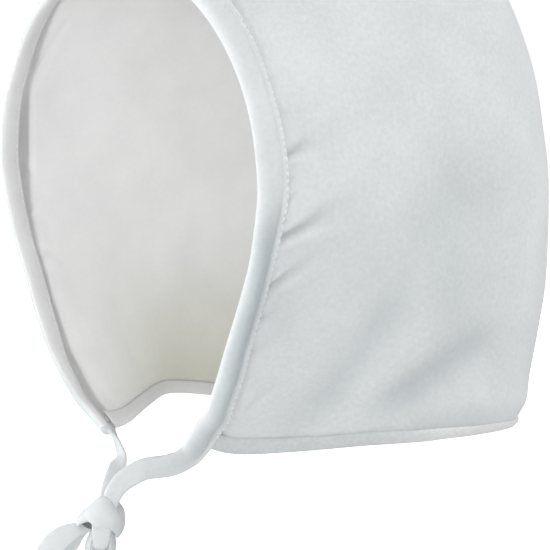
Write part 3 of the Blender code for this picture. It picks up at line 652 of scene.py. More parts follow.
class CapForm:
    """The cap's outer face as a formula, and the lines that run on it."""

    def __init__(self, sizes):
        self.half_width = sizes.half_width / MM
        self.depth = sizes.depth / MM
        self.height = sizes.height / MM
        self.wall = sizes.wall / MM
        self.top_drop = sizes.face_top_drop / MM
        self.binding = sizes.binding_width / MM
        self.inner_leg = sizes.binding_inner_width / MM
        self.neck = sizes.neck_width / MM
        self.pitch = sizes.stitch_pitch / MM
        self.crown = self.wall
        self.centre = np.array([
            0.0,
            self.depth * WIDEST_DEPTH_SHARE,
            self.crown - self.height * WIDEST_HEIGHT_SHARE,
        ])
        self.back_reach = self.depth - self.centre[1]
        self.lower_reach = self.height * LOWER_REACH_SHARE
        self.limit = self.depth + self.height

    def share(self, height):
        return (self.crown - height) / self.height

    def face_depth(self, height):
        return self.depth * table_column(FACE_EDGE, 1, self.share(height))

    def hem_height(self, depth, side):
        column = 1 if side > 0 else 2
        return self.crown - self.height * table_column(LOWER_EDGE, column, depth / self.depth)

    def seam_setback(self, height):
        return self.binding * table_column(SEAM_LINE, 1, self.share(height))

    def past_face(self, points, setback=0.0):
        """How far points lie behind the face edge or a line set back from it."""
        return points[..., 1] - self.face_depth(points[..., 2]) - setback

    def above_hem(self, points, side, raised=0.0):
        """How far points lie above the lower edge or a line raised from it."""
        return points[..., 2] - self.hem_height(points[..., 1], side) - raised

    def value(self, points):
        """Below one inside the outer face and above one outside it."""
        x = np.abs(points[..., 0])
        y = points[..., 1]
        z = points[..., 2]
        forward = np.clip((self.centre[1] - y) / self.centre[1], 0.0, MOST_FORWARD)
        behind = np.clip((y - self.centre[1]) / self.back_reach, 0.0, None)
        draw = table_column(CORNER_DRAW, 1, self.share(z))
        fade = 1 - ease((y - self.face_depth(z)) / (self.depth * DRAW_FADE_SHARE))
        width = self.half_width * (1 - FACE_NARROWING * forward ** 2) * (1 - draw * fade)
        plan = ((x / width) ** PLAN_ROUNDNESS + behind ** PLAN_ROUNDNESS) ** (1 / PLAN_ROUNDNESS)
        crown = self.crown - self.top_drop * forward ** 2
        above = np.clip((z - self.centre[2]) / (crown - self.centre[2]), 0.0, None)
        below = np.clip((self.centre[2] - z) / self.lower_reach, 0.0, None)
        lean = FRONT_ARCH_ROUNDNESS - BACK_ARCH_ROUNDNESS
        arch = BACK_ARCH_ROUNDNESS + lean * np.clip(forward, 0, 1)
        upper_half = plan ** arch + above ** arch
        lower_half = plan ** LOWER_ROUNDNESS + below ** LOWER_ROUNDNESS
        return np.where(z > self.centre[2], upper_half, lower_half)

    def reach(self, place, shape):
        """Points at which place(distance) meets the outer face, found by halving."""
        near = np.zeros(shape)
        far = np.full(shape, self.limit)
        for _ in range(HALVINGS):
            middle = (near + far) / 2
            inside = self.value(place(middle)) < 1.0
            near = np.where(inside, middle, near)
            far = np.where(inside, far, middle)
        return place(near)

    def onto_body(self, points):
        heading = unit(points - self.centre)
        return self.reach(lambda r: self.centre + heading * r[..., None], heading.shape[:-1])

    def outward(self, points):
        columns = []
        for axis in range(3):
            shift = np.zeros(3)
            shift[axis] = NORMAL_STEP
            columns.append(self.value(points + shift) - self.value(points - shift))
        return unit(np.stack(columns, -1))

    def shift(self, points):
        """How the worn cap differs from its plain form: a flared cheek and a drawn-in back."""
        share = self.share(points[..., 2])
        behind = self.past_face(points)
        flare = table_column(FAR_FLARE, 1, share) * (1 - ease(behind / FAR_FLARE_FADE))
        flare = flare * ease(-points[..., 0] / FAR_FLARE_START)
        back = ease((points[..., 1] / self.depth - BACK_TRIM_START) / BACK_TRIM_SPREAD)
        push = flare + table_column(BACK_TRIM, 1, share) * back
        level = self.outward(points) * (1.0, 1.0, 0.0)
        lean = np.linalg.norm(level, axis=-1, keepdims=True)
        left = ease(points[..., 0] / FAR_FLARE_START) * (1 - ease(behind / NEAR_DRAW_FADE))
        draw = table_column(NEAR_DRAW, 1, share) * left
        backward = np.array([0.0, 1.0, 0.0])
        return level / np.maximum(lean, LEAST_LEAN) * push[..., None] + backward * draw[..., None]

    def face_line(self, angles, setback):
        """Points on a line set back from the face edge, at angles in the XZ plane."""
        angles = np.asarray(angles, float)

        def place(r):
            x = r * np.cos(angles)
            z = self.centre[2] + r * np.sin(angles)
            back = setback(z) if callable(setback) else setback
            return np.stack([x, self.face_depth(z) + back, z], -1)

        return self.reach(place, angles.shape)

    def hem_line(self, angles, raised, side):
        """Points on a line raised from the lower edge, at plan angles from the back."""
        angles = np.asarray(angles, float)

        def place(r):
            x = side * (r * np.sin(angles) - HEM_ORIGIN)
            y = self.centre[1] + r * np.cos(angles)
            up = raised(y) if callable(raised) else raised
            return np.stack([x, y, self.hem_height(y, side) + up], -1)

        return self.reach(place, angles.shape)

    def seam_line(self, angles):
        """Points on the centre line, at angles in the YZ plane from the back up and over."""
        angles = np.asarray(angles, float)

        def place(r):
            y = self.centre[1] + r * np.cos(angles)
            z = self.centre[2] + r * np.sin(angles)
            return np.stack([np.zeros(angles.shape), y, z], -1)

        return self.reach(place, angles.shape)

    def crossing(self, measure, low, high):
        """Angle between low and high at which measure(angles) changes sign."""
        for _ in range(CROSSING_ROUNDS):
            angles = np.linspace(low, high, CROSSING_SAMPLES)
            values = measure(angles)
            k = np.argmax(np.sign(values[1:]) != np.sign(values[0]))
            low, high = angles[k], angles[k + 1]
        return (low + high) / 2

    def evenly(self, line, start, stop, count):
        """Count + 1 points on a line, evenly spaced along its length."""
        angles = np.linspace(start, stop, LINE_SAMPLES)
        points = line(angles)
        way = travelled(points)
        wanted = np.linspace(0.0, way[-1], count + 1)
        return line(np.interp(wanted, way, angles))

    def face_rows(self, setback, raised, side, count):
        """Points along the face edge from the lower corner up to the middle of the top."""

        def line(angles):
            return self.face_line(angles, setback)

        corner = self.crossing(lambda a: self.above_hem(line(a), side, raised), LOWEST_FACE_ANGLE, 0.0)
        points = self.evenly(line, corner, np.pi / 2, count)
        points[-1, 0] = 0.0
        points[:, 0] *= side
        return points

    def hem_rows(self, raised, setback, side, count):
        """Points along the lower edge from the front end round to the middle of the back."""

        def line(angles):
            return self.hem_line(angles, raised, side)

        corner = self.crossing(lambda a: self.past_face(line(a), setback), np.pi / 2, np.pi)
        back = self.crossing(lambda a: line(a)[:, 0] * side, 0.0, np.pi / 2)
        points = self.evenly(line, corner, back, count)
        points[-1, 0] = 0.0
        return points

    def seam_rows(self, setback, raised, count_top, count_back):
        """The centre line in two runs: over the crown, and down the back."""
        line = self.seam_line
        front = self.crossing(lambda a: self.past_face(line(a), setback), np.pi / 2, np.pi)
        nape = self.crossing(lambda a: self.above_hem(line(a), 1, raised), -np.pi / 2, 0.0)
        top = self.evenly(line, front, CROWN_TURN_ANGLE, count_top)
        back = self.evenly(line, nape, CROWN_TURN_ANGLE, count_back)
        return top, back


# How the panels meet what is sewn to them, in millimetres
TURN_IN = 1.5
SEAM_SINK = 1.05
LEAST_WALL = 0.55
SEAM_ROLL = 1.5
HEM_PULL = 0.75
HEM_FADE = 6.0
HEM_BULGE = 0.75
HEM_BULGE_RISE = 9.5
HEM_BULGE_BREADTH = 5.0
CENTRE_SINK = 0.75
CENTRE_ROLL = 1.1
PUCKER_PITCH = 5.6
PUCKER_DEPTH = 0.14
PUCKER_FADE = 6.0
PUCKER_DRIFTS = 9.0
HEM_PUCKER_PITCH = 8.5
HEM_PUCKER_DEPTH = 0.16
HEM_PUCKER_FADE = 13.0
HEM_PUCKER_LEAN = 0.6
HEM_PUCKER_DRIFT = 11.0
HEM_PUCKER_PHASE = 0.8
FOLD_SEAM_FADE = 10.0
WAVE_SEAM_FADE = 8.0
LEG_CLEARANCE = 0.4
LEG_FADE = 2.4
NECK_FADE = 2.0
NECK_FADE_START = 0.4
# Shares of a crease's and a fold's length: lead before it, rise, end, fall
CREASE_FADE = (0.35, 0.30, 1.15, 0.95)
FOLD_FADE = (0.25, 0.50, 1.25, 0.50)
CREASE_ROOT_BREADTH = 0.55
CREASE_WIDENING = 0.75
CREASE_WIDENING_END = 1.3
CREASE_RIDGE_SHARE = 0.40
CREASE_RIDGE_AWAY = 1.7
# Painted shade in the folds of the panels: full where a fold sinks this far, at this share
FULL_HOLLOW = 1.8
FOLD_SHADE_SHARE = 0.55
# Painted shade on the inner face, low down and toward the back, warm in colour
INNER_SHADE_HEIGHT = 0.60
INNER_SHADE_SPREAD = 0.34
INNER_SHADE_DEPTH = 0.45


def waves(points):
    """Slow unevenness of worn cloth, from a few crossed waves."""
    height = np.zeros(points.shape[:-1])
    for length, rise, *lean, phase in CLOTH_WAVES:
        along = points @ unit(np.array(lean))
        height = height + rise * np.sin(2 * np.pi * along / length + phase)
    return height


def furrow(form, place, row, is_crease):
    """Depth of one crease or fold over the panel; a ridge rises beside a crease."""
    depth_0, height_0, depth_1, height_1, breadth, sink = row
    start = np.array([form.depth * depth_0, form.crown - form.height * height_0])
    run = np.array([form.depth * depth_1, form.crown - form.height * height_1]) - start
    length = np.linalg.norm(run)
    along = ((place - start) @ run) / length ** 2
    across = ((place - start) @ np.array([-run[1], run[0]])) / length
    lead, rise, end, fall = CREASE_FADE if is_crease else FOLD_FADE
    fade = ease((along + lead) / rise) * ease((end - along) / fall)
    if not is_crease:
        return -sink * np.exp(-((across / breadth) ** 2)) * fade
    widening = CREASE_WIDENING * np.clip(along, 0.0, CREASE_WIDENING_END)
    spread = breadth * (CREASE_ROOT_BREADTH + widening)
    beside = np.abs(across) - spread * CREASE_RIDGE_AWAY
    ridge = CREASE_RIDGE_SHARE * np.exp(-((beside / spread) ** 2))
    return -sink * (np.exp(-((across / spread) ** 2)) - ridge) * fade


def hem_pull(form, points, side):
    """How the neck seam draws the cloth in, with a soft bulge above it."""
    raised = form.above_hem(points, side)
    pull = -HEM_PULL * (1 - ease((raised - form.neck) / HEM_FADE))
    bulge = HEM_BULGE * np.exp(-(((raised - HEM_BULGE_RISE) / HEM_BULGE_BREADTH) ** 2))
    return pull + bulge


def hem_gathers(form, points, side):
    """Small gathers above the neck seam, stronger and weaker by turns."""
    raised = form.above_hem(points, side)
    away = np.abs(points[..., 0])
    fade = np.exp(-(np.clip(raised - form.neck, 0.0, None) / HEM_PUCKER_FADE))
    lean = points[..., 1] + away * HEM_PUCKER_LEAN
    gather = np.sin(2 * np.pi * lean / HEM_PUCKER_PITCH)
    slow = 0.5 + 0.5 * np.sin(points[..., 1] / HEM_PUCKER_DRIFT + HEM_PUCKER_PHASE * side)
    return HEM_PUCKER_DEPTH * gather * slow * fade


def centre_puckers(form, points, line):
    """Fine puckers beside the centre seam; line is one at the seam and none away from it."""
    around = np.arctan2(points[..., 1] - form.centre[1], -points[..., 2] + form.centre[2])
    beside = np.exp(-(np.abs(points[..., 0]) / PUCKER_FADE)) * (1 - line)
    pucker = np.sin(around * form.half_width * 2 * np.pi / PUCKER_PITCH)
    drift = 0.6 + 0.4 * np.sin(around * PUCKER_DRIFTS)
    return PUCKER_DEPTH * pucker * drift * beside


def panel_relief(form, points, side):
    """Heights of the dressed cloth's outer and inner faces over the plain form, and its painted shade:
    darker in the folds outside, and low toward the back inside.
    """
    place = points[..., 1:]
    setback = form.past_face(points)
    raised = form.above_hem(points, side)
    past_seam = setback - form.seam_setback(points[..., 2])
    folded = np.zeros(points.shape[:-1])
    for row in CREASES:
        if row[0] == side:
            folded = folded + furrow(form, place, row[1:], True)
    for row in BROAD_FOLDS:
        if row[0] == side:
            fold = furrow(form, place, row[1:], False)
            folded = folded + fold * ease(past_seam / FOLD_SEAM_FADE)
    free = ease((setback - form.inner_leg - LEG_CLEARANCE) / LEG_FADE)
    free = free * ease((raised - form.neck) / NECK_FADE + NECK_FADE_START)
    height = (folded + waves(points) * ease(past_seam / WAVE_SEAM_FADE)) * free
    height = height + hem_pull(form, points, side) + hem_gathers(form, points, side) * free
    line = np.exp(-((points[..., 0] / CENTRE_ROLL) ** 2))
    height = height + centre_puckers(form, points, line) * free
    roll = np.exp(-((np.clip(past_seam, 0.0, None) / SEAM_ROLL) ** 2))
    outer = height - SEAM_SINK * roll - CENTRE_SINK * line * free
    inner = np.minimum(height - form.wall, outer - LEAST_WALL)
    # Painted shade darkens the outside in the folds, as deep as they sink
    painted_shade = np.clip(-folded / FULL_HOLLOW, 0.0, 1.0) * FOLD_SHADE_SHARE
    # Painted shade darkens the inner face low down and toward the back
    shade = ease((form.share(points[..., 2]) - INNER_SHADE_HEIGHT) / INNER_SHADE_SPREAD)
    shade = shade * ease(points[..., 1] / form.depth / INNER_SHADE_DEPTH)
    return outer, inner, painted_shade, shade


def coons(front, lower, top, back):
    """Grid of points filled in smoothly from its four edges."""
    u = np.linspace(0.0, 1.0, len(lower))[None, :, None]
    v = np.linspace(0.0, 1.0, len(front))[:, None, None]
    blend = (1 - v) * lower[None] + v * top[None] + (1 - u) * front[:, None] + u * back[:, None]
    corners = (1 - v) * ((1 - u) * lower[0] + u * lower[-1]) + v * ((1 - u) * top[0] + u * top[-1])
    return blend - corners


def doubled(grid):
    """Grid with a new row and column between each two."""
    rows = np.empty((2 * grid.shape[0] - 1, grid.shape[1], 3))
    rows[::2] = grid
    rows[1::2] = (grid[:-1] + grid[1:]) / 2
    both = np.empty((rows.shape[0], 2 * rows.shape[1] - 1, 3))
    both[:, ::2] = rows
    both[:, 1::2] = (rows[:, :-1] + rows[:, 1:]) / 2
    return both


def settle(form, grid, passes):
    """Even out the inner points of a grid while they stay on the form."""
    for _ in range(passes):
        middle = (grid[:-2, 1:-1] + grid[2:, 1:-1] + grid[1:-1, :-2] + grid[1:-1, 2:]) / 4
        grid[1:-1, 1:-1] = form.onto_body((grid[1:-1, 1:-1] + middle) / 2)
    return grid


def panel_grid(form, side):
    """Outer face of one half: rows from the lower edge to the crown, columns front to back."""
    columns = PANEL_COLUMNS
    rows = PANEL_ROWS
    grid = None
    for level in range(PANEL_DOUBLINGS + 1):
        front = form.face_rows(TURN_IN, TURN_IN, side, rows)
        lower = form.hem_rows(TURN_IN, TURN_IN, side, columns)
        top, back = form.seam_rows(TURN_IN, TURN_IN, columns, rows)
        finer = coons(front, lower, top, back)
        if grid is not None:
            finer[1:-1, 1:-1] = doubled(grid)[1:-1, 1:-1]
        grid = settle(form, finer, FINE_PASSES if level else COARSE_PASSES)
        columns *= 2
        rows *= 2
    return grid


def laid_flat(form, grid):
    """Places on the flat cloth: one half opened out from the middle of its side."""
    level = np.abs(grid[..., :1]) / form.half_width
    return (grid[..., 1:] - form.centre[1:]) * np.sqrt(2 / (1 + np.clip(level, 0.0, 1.0)))


def new_object(name, vertices, faces, materials, face_slots=None, uvs=None, painted_shade=None):
    """Mesh object from points in millimetres, shaded smooth, with its UV map and the painted shade of its
    points.
    """
    mesh = bpy.data.meshes.new(name)
    mesh.from_pydata((np.asarray(vertices) * MM).tolist(), [], faces)
    for material in materials:
        mesh.materials.append(material)
    if face_slots is not None:
        mesh.polygons.foreach_set("material_index", np.asarray(face_slots, dtype=np.int32))
    if uvs is not None:
        corner = np.empty(len(mesh.loops), dtype=np.int32)
        mesh.loops.foreach_get("vertex_index", corner)
        layer = mesh.uv_layers.new(name="cloth")
        layer.data.foreach_set("uv", (np.asarray(uvs)[corner] * MM).ravel())
    # Painted shade of each point, by which the materials darken the cloth
    if painted_shade is not None:
        layer = mesh.attributes.new("hollow", "FLOAT", "POINT")
        layer.data.foreach_set("value", np.asarray(painted_shade, dtype=np.float32).ravel())
    mesh.shade_smooth()
    mesh.update()
    item = bpy.data.objects.new(name, mesh)
    bpy.context.collection.objects.link(item)
    return item


def face_outward(item):
    """Turn a closed mesh's faces so that they point out."""
    work = bmesh.new()
    work.from_mesh(item.data)
    bmesh.ops.recalc_face_normals(work, faces=work.faces)
    work.to_mesh(item.data)
    work.free()


def wall_object(name, outer, inner, uvs, materials, painted_shade=None):
    """One closed piece of cloth between two matching grids."""
    rows, columns = outer.shape[:2]
    count = rows * columns
    index = np.arange(count).reshape(rows, columns)
    quads = np.stack([index[:-1, :-1], index[:-1, 1:], index[1:, 1:], index[1:, :-1]], -1)
    quads = quads.reshape(-1, 4)
    rim = np.concatenate([index[0, :], index[1:, -1], index[-1, -2::-1], index[-2:0:-1, 0]])
    after = np.roll(rim, -1)
    edge = np.stack([after, rim, rim + count, after + count], -1)
    faces = np.concatenate([quads, quads[:, ::-1] + count, edge])
    slots = np.concatenate([np.zeros(len(quads)), np.ones(len(quads)), np.zeros(len(edge))])
    vertices = np.concatenate([outer.reshape(-1, 3), inner.reshape(-1, 3)])
    uvs = np.concatenate([uvs, uvs])
    item = new_object(name, vertices, faces.tolist(), materials, slots, uvs, painted_shade)
    face_outward(item)
    return item


def tube_faces(stations, sides):
    """Faces of a tube through rings of points, closed at both ends."""
    index = np.arange(stations * sides).reshape(stations, sides)
    after = np.roll(index, -1, axis=1)
    quads = np.stack([index[:-1], after[:-1], after[1:], index[1:]], -1).reshape(-1, 4)
    return [*quads.tolist(), index[0, ::-1].tolist(), index[-1].tolist()]


def ring_object(name, rings, around, along, materials, ring_slots=None, painted_shade=None):
    """One closed piece through rings of points, with its UV map along and around it."""
    stations, sides = rings.shape[:2]
    faces = tube_faces(stations, sides)
    slots = np.zeros(len(faces))
    if ring_slots is not None:
        slots[:-2] = np.tile(np.asarray(ring_slots), stations - 1)
    uvs = np.stack([np.repeat(along, sides), np.tile(around, stations)], -1)
    item = new_object(name, rings.reshape(-1, 3), faces, materials, slots, uvs, painted_shade)
    face_outward(item)
    return item


def side_panel(form, name, side, materials):
    """One half of the cap, closed between its outer and inner faces."""
    grid = panel_grid(form, side)
    normal = form.outward(grid)
    outer_relief, inner_relief, *painted_shades = panel_relief(form, grid, side)
    shift = form.shift(grid)
    outer = grid + normal * outer_relief[..., None] + shift
    inner = grid + normal * inner_relief[..., None] + shift
    for face in (outer, inner):
        face[:, -1, 0] = 0.0
        face[-1, :, 0] = 0.0
        face[..., 0] = side * np.abs(face[..., 0])
    uvs = laid_flat(form, grid).reshape(-1, 2)
    return wall_object(name, outer, inner, uvs, materials, np.stack(painted_shades))


STITCH_DIMPLE = 0.10
STITCH_SIDES = 6
STITCH_FORM = (
    # share along the stitch, share of its radius, rise in radii
    (0.0, 0.45, -0.90),
    (0.16, 0.90, 0.05),
    (0.50, 1.0, 0.35),
    (0.84, 0.90, 0.05),
    (1.0, 0.45, -0.90),
)
WELT_ROW = 4
WELT_STITCH = (1.55, 0.36)
INNER_STITCH_ROW = len(ROLL_SECTION) + 6
INNER_STITCH = (1.45, 0.19)
NECK_OUTER_START = 7.1
NECK_INNER_START = 5.2
NECK_FOLD_HEIGHT = -0.9
CRUMPLE = 0.10
CRUMPLE_LENGTHS = (1.9, 5.3)
CRUMPLE_EDGE = 0.1
ROLL_DRIFT = 0.07
DRIFT_LENGTHS = (4.1, 2.3)
DRIFTING_HEIGHT = 0.5
# Painted shade on the face binding: beside the welt and on the roll's far flank, darkest on the seam line,
# and on the first part of each tie
FULL_ROLL_HOLLOW = 0.55
SEAM_LINE_ROWS = 2
SEAM_LINE_SHADE = 0.9
LEFT_TIE_SHADE_START = 0.50
RIGHT_TIE_SHADE = 0.75
RIGHT_TIE_SHADE_SHARE = 0.7
LEG_NARROWING = 0.42
LEG_NARROWING_START = 0.78
LEG_NARROWING_SPREAD = 0.17
LEG_FLATTENING = 0.30
LEG_FACE_HEIGHT = -1.9


def toward_corner(form, height):
    """How near the face binding is to its corner, from none to one."""
    return ease((form.share(height) - LEG_NARROWING_START) / LEG_NARROWING_SPREAD)


def leg_width(form, height):
    """Width of the binding's inner leg, which narrows toward the corners."""
    return form.inner_leg * (1 - LEG_NARROWING * toward_corner(form, height))


def corner_rise(share):
    """How far a row of the section ends above the corner's lowest point."""
    return CORNER_RISE * ease((share - CORNER_RISE_START) / (1 - CORNER_RISE_START))


def scaled(width, share):
    """The same share of a width at every height."""
    return lambda height: width(height) * share


def binding_section(form):
    """Rows of setback, lower end, height, hollow, puff and dimple shares, and inner flag."""
    rows = []
    for share, height, hollow, puff, dimple, _ in ROLL_SECTION:
        setback = scaled(form.seam_setback, share)
        rows.append((setback, corner_rise(share), height, hollow, puff, dimple, 0))
    for share, height, dimple in INNER_LEG_SECTION + HIDDEN_LEG:
        setback = scaled(lambda z: leg_width(form, z), share)
        rows.append((setback, INNER_CORNER_RISE * ease(share), height, 0.0, 0.0, dimple, 1))
    for share, height in HIDDEN_FRONT:
        rows.append((form.binding * share, corner_rise(share), height, 0.0, 0.0, 0.0, 0))
    return rows


def from_both_sides(form, left, right):
    """Rows of the two sides joined at the middle, with the neck seam's pull on them."""
    pull = np.concatenate([hem_pull(form, left, 1), hem_pull(form, right[1:], -1)])
    return np.concatenate([left, right[1:]]), pull


def lifted(form, base, lift):
    """Points raised square to the plain form and moved as the worn cap is."""
    return base + form.outward(base) * lift[:, None] + form.shift(base)


def stitch_dimple(form, length):
    """Depth of the dimples that a row of stitches draws, by length along the seam."""
    return STITCH_DIMPLE * (0.5 + 0.5 * np.cos(2 * np.pi * length / form.pitch))


def binding_rings(form):
    """Rings of the face binding from the left corner over the top to the right one."""
    columns = []
    half = BINDING_SEGMENTS // 2
    for setback, end, height, hollow, puff, dimple, _ in binding_section(form):
        left = form.face_rows(setback, end, 1, half)
        right = form.face_rows(setback, end, -1, half)[::-1]
        base, pull = from_both_sides(form, left, right)
        length = travelled(base)
        share = form.share(base[:, 2])
        depth = table_column(ROLL_HOLLOW, 1, share)
        rise = table_column(ROLL_HOLLOW, 2, share)
        lift = height + pull - hollow * depth + puff * rise - dimple * stitch_dimple(form, length)
        if height > DRIFTING_HEIGHT:
            slow, quick = DRIFT_LENGTHS
            lift = lift + ROLL_DRIFT * (np.sin(length / slow) + np.sin(length / quick + 1.0))
        if height < LEG_FACE_HEIGHT:
            lift = lift + LEG_FLATTENING * toward_corner(form, base[:, 2])
        columns.append(lifted(form, base, lift))
    return np.stack(columns, axis=1)


def stitch_points(start, stop, lift, radius):
    """Rings of one stitch, sunk at both ends and proud in the middle."""
    wide = np.cross(unit(stop - start), lift)
    turn = 2 * np.pi * np.arange(STITCH_SIDES) / STITCH_SIDES
    ring = wide[None] * np.cos(turn)[:, None] + lift[None] * np.sin(turn)[:, None]
    points = []
    for share, size, rise in STITCH_FORM:
        centre = start + (stop - start) * share + lift * radius * rise
        points.append(centre + ring * radius * size)
    return np.concatenate(points)


def stitch_row(name, rings, row, pitch, length, radius, materials):
    """A row of stitches that lie along one line of a strip's surface."""
    line = rings[:, row]
    around = rings[:, row + 1] - rings[:, row - 1]
    lift = unit(np.cross(np.gradient(line, axis=0), around))
    outside = np.sum(lift * (line - rings.mean(axis=1)), axis=1).mean()
    lift = lift * np.sign(outside)
    way = travelled(line)
    skin = tube_faces(len(STITCH_FORM), STITCH_SIDES)
    vertices = []
    faces = []
    for k in range(1, int(way[-1] / pitch)):
        ends = []
        for at in (k * pitch - length / 2, k * pitch + length / 2):
            ends.append(np.array([np.interp(at, way, line[:, axis]) for axis in range(3)]))
        up = np.array([np.interp(k * pitch, way, lift[:, axis]) for axis in range(3)])
        onward = unit(ends[1] - ends[0])
        up = unit(up - (up @ onward) * onward)
        points = stitch_points(*ends, up, radius)
        first = len(vertices) * len(points)
        vertices.append(points)
        faces.extend([[corner + first for corner in face] for face in skin])
    item = new_object(name, np.concatenate(vertices), faces, materials)
    face_outward(item)
    return item


def smooth_run(rows):
    """Resample a table of stations smoothly and evenly along its length."""
    keyed = np.column_stack([travelled(rows[:, :3]), rows])
    wanted = np.linspace(0.0, keyed[-1, 0], STRAP_STEPS + 1)
    columns = [table_column(keyed, k + 1, wanted) for k in range(rows.shape[1])]
    return np.stack(columns, axis=1)


class BowPlace:
    """Where the knot lies, and places given in its own frame."""

    def __init__(self, sizes):
        low, high = (np.array(corner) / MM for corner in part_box("bow_knot"))
        self.middle = (low + high) / 2
        self.width_scale = sizes.tie_width / MM / TABLE_TIE_WIDTH

    def place(self, points):
        """Points given across, up and near, in the bonnet's frame."""
        return np.asarray(points, float) @ BOW_TURN + self.middle

    def stations(self, table):
        """A table of strap stations as places, sizes and facings in the bonnet's frame."""
        rows = np.array(table, float)
        sizes = rows[:, 3:5] * (self.width_scale, 1.0)
        return np.column_stack([self.place(rows[:, :3]), sizes, rows[:, 5:8] @ BOW_TURN])


def strap_frames(rows, lead=None):
    """Stations of a strap with its tangent, width direction and facing."""
    run = smooth_run(rows)
    tangent = unit(np.gradient(run[:, 0:3], axis=0))
    facing = run[:, 5:8]
    facing = unit(facing - np.sum(facing * tangent, axis=1, keepdims=True) * tangent)
    across = np.cross(tangent, facing)
    if lead is not None:
        onward, wide, outer = lead
        if across[LEAD_SEGMENTS] @ wide < 0:
            across = -across
        share = ease(np.arange(LEAD_SEGMENTS) / LEAD_SEGMENTS)[:, None]
        for frame, first in ((tangent, onward), (across, wide), (facing, outer)):
            led = first * (1 - share) + frame[:LEAD_SEGMENTS] * share
            frame[:LEAD_SEGMENTS] = unit(led)
    return run, tangent, across, facing


def rounded_power(shares, power):
    """Shares between minus one and one raised to a power that keeps their signs."""
    return np.sign(shares) * np.abs(shares) ** power


def strap_object(name, rows, materials):
    """Flat strap of folded cloth along stations of place, width, cloth and facing."""
    run, _, across, facing = strap_frames(rows)
    turn = (np.arange(STRAP_SIDES) + 0.5) * 2 * np.pi / STRAP_SIDES
    wide = rounded_power(np.cos(turn), STRAP_WIDE_POWER)
    thick = rounded_power(np.sin(turn), STRAP_THICK_POWER)
    rings = (
        run[:, None, 0:3]
        + across[:, None] * (run[:, 3] / 2)[:, None, None] * wide[None, :, None]
        + facing[:, None] * (run[:, 4] / 2)[:, None, None] * thick[None, :, None]
    )
    around = wide * run[:, 3].mean() / 2 + (thick < 0) * run[:, 3].mean()
    return ring_object(name, rings, around, travelled(run[:, :3]), materials)


def tie_rings(form, bow, rings, side, table, fade_share):
    """Rings that carry the face binding on from its corner to the knot as a flat strap."""
    ring = rings[0] if side > 0 else rings[-1]
    before = rings[LEAD_RINGS] if side > 0 else rings[-1 - LEAD_RINGS]
    outer_count = len(ROLL_SECTION)
    stop_inner = outer_count + len(INNER_LEG_SECTION)
    fold = outer_count - 1
    middle = (ring[0] + ring[fold] + ring[stop_inner - 1]) / 3
    onward = unit(ring.mean(axis=0) - before.mean(axis=0))
    wide = ring[fold] - ring[0]
    wide = unit(wide - (wide @ onward) * onward)
    facing = np.cross(wide, onward)
    if facing @ (ring[fold // 2] - ring[outer_count + LEG_MIDDLE_ROW]) < 0:
        facing = -facing
    own = (ring - middle) @ np.stack([onward, wide, facing], -1)
    first = np.array([*middle, form.binding, TIE_START_THICKNESS, *facing])
    stations = np.vstack([first, bow.stations(table)])
    run, tangent, across, faces = strap_frames(stations, (onward, wide, facing))
    flat = np.zeros((len(ring), 3))
    steep, soft = FLAT_EDGE_POWERS
    for rows, first, last, way in (
        (ROLL_SECTION, 0, outer_count, 1),
        (INNER_LEG_SECTION, outer_count, stop_inner, -1),
    ):
        share = np.array([row[0] for row in rows])
        spread = 1 - 2 * (share - share.min()) / np.ptp(share)
        flat[first:last, 1] = spread
        flat[first:last, 2] = way * (1 - np.abs(spread) ** steep) ** soft
    flat[stop_inner:, 1] = HIDDEN_WIDE
    flat[stop_inner:, 2] = HIDDEN_THICK
    flattened = []
    for i in range(1, STRAP_STEPS + 1):
        turned = ease(i / (STRAP_STEPS * fade_share))
        half = (0.0, run[i, 3] / 2, run[i, 4] / 2)
        shape = own * (1 - turned) + flat * half * turned
        flattened.append(run[i, :3] + shape @ np.stack([tangent[i], across[i], faces[i]]))
    return np.array(flattened)


def face_binding(form, bow, name, materials):
    """The folded strip round the face edge with its ties, as one run of cloth."""
    rings = binding_rings(form)
    left = tie_rings(form, bow, rings, 1, LEFT_TIE, LEFT_FADE_SHARE)
    right = tie_rings(form, bow, rings, -1, RIGHT_TIE, RIGHT_FADE_SHARE)
    whole = np.concatenate([left[::-1], rings, right])
    along = travelled(whole.mean(axis=1))
    around = travelled(rings[BINDING_SEGMENTS // 2])
    slots = [row[6] for row in binding_section(form)]
    # Painted shade: beside the welt and on the roll by the hollow's depth, dark on the seam line, fading
    # along the left tie and over the start of the right one
    height = form.share(whole[..., 2])
    deep = table_column(ROLL_HOLLOW, 1, height) / FULL_ROLL_HOLLOW
    shaded_rows = np.zeros(len(slots))
    shaded_rows[:len(ROLL_SECTION)] = [row[5] for row in ROLL_SECTION]
    painted_shade = np.clip(deep, 0.0, 1.0) * shaded_rows
    painted_shade[:, :SEAM_LINE_ROWS] = SEAM_LINE_SHADE
    way = np.linspace(0.0, 1.0, STRAP_STEPS)[:, None]
    toward_cap = ease((way - LEFT_TIE_SHADE_START) / (1 - LEFT_TIE_SHADE_START))
    painted_shade[:STRAP_STEPS] = painted_shade[STRAP_STEPS] * toward_cap
    painted_shade[-STRAP_STEPS:] = RIGHT_TIE_SHADE * (1 - ease(way / RIGHT_TIE_SHADE_SHARE))
    return ring_object(name, whole, around, along, materials, slots, painted_shade)


def neck_line(form, share, side):
    """How far one row of the neck strip lies above the lower edge, by depth."""

    def raised(depth):
        drop = table_column(NECK_DROP, 1, depth / form.depth)
        reach = 1.0 if side > 0 else ease(depth / form.depth * 2 - 1)
        return form.neck * share - drop * (1 - share) * reach

    return raised


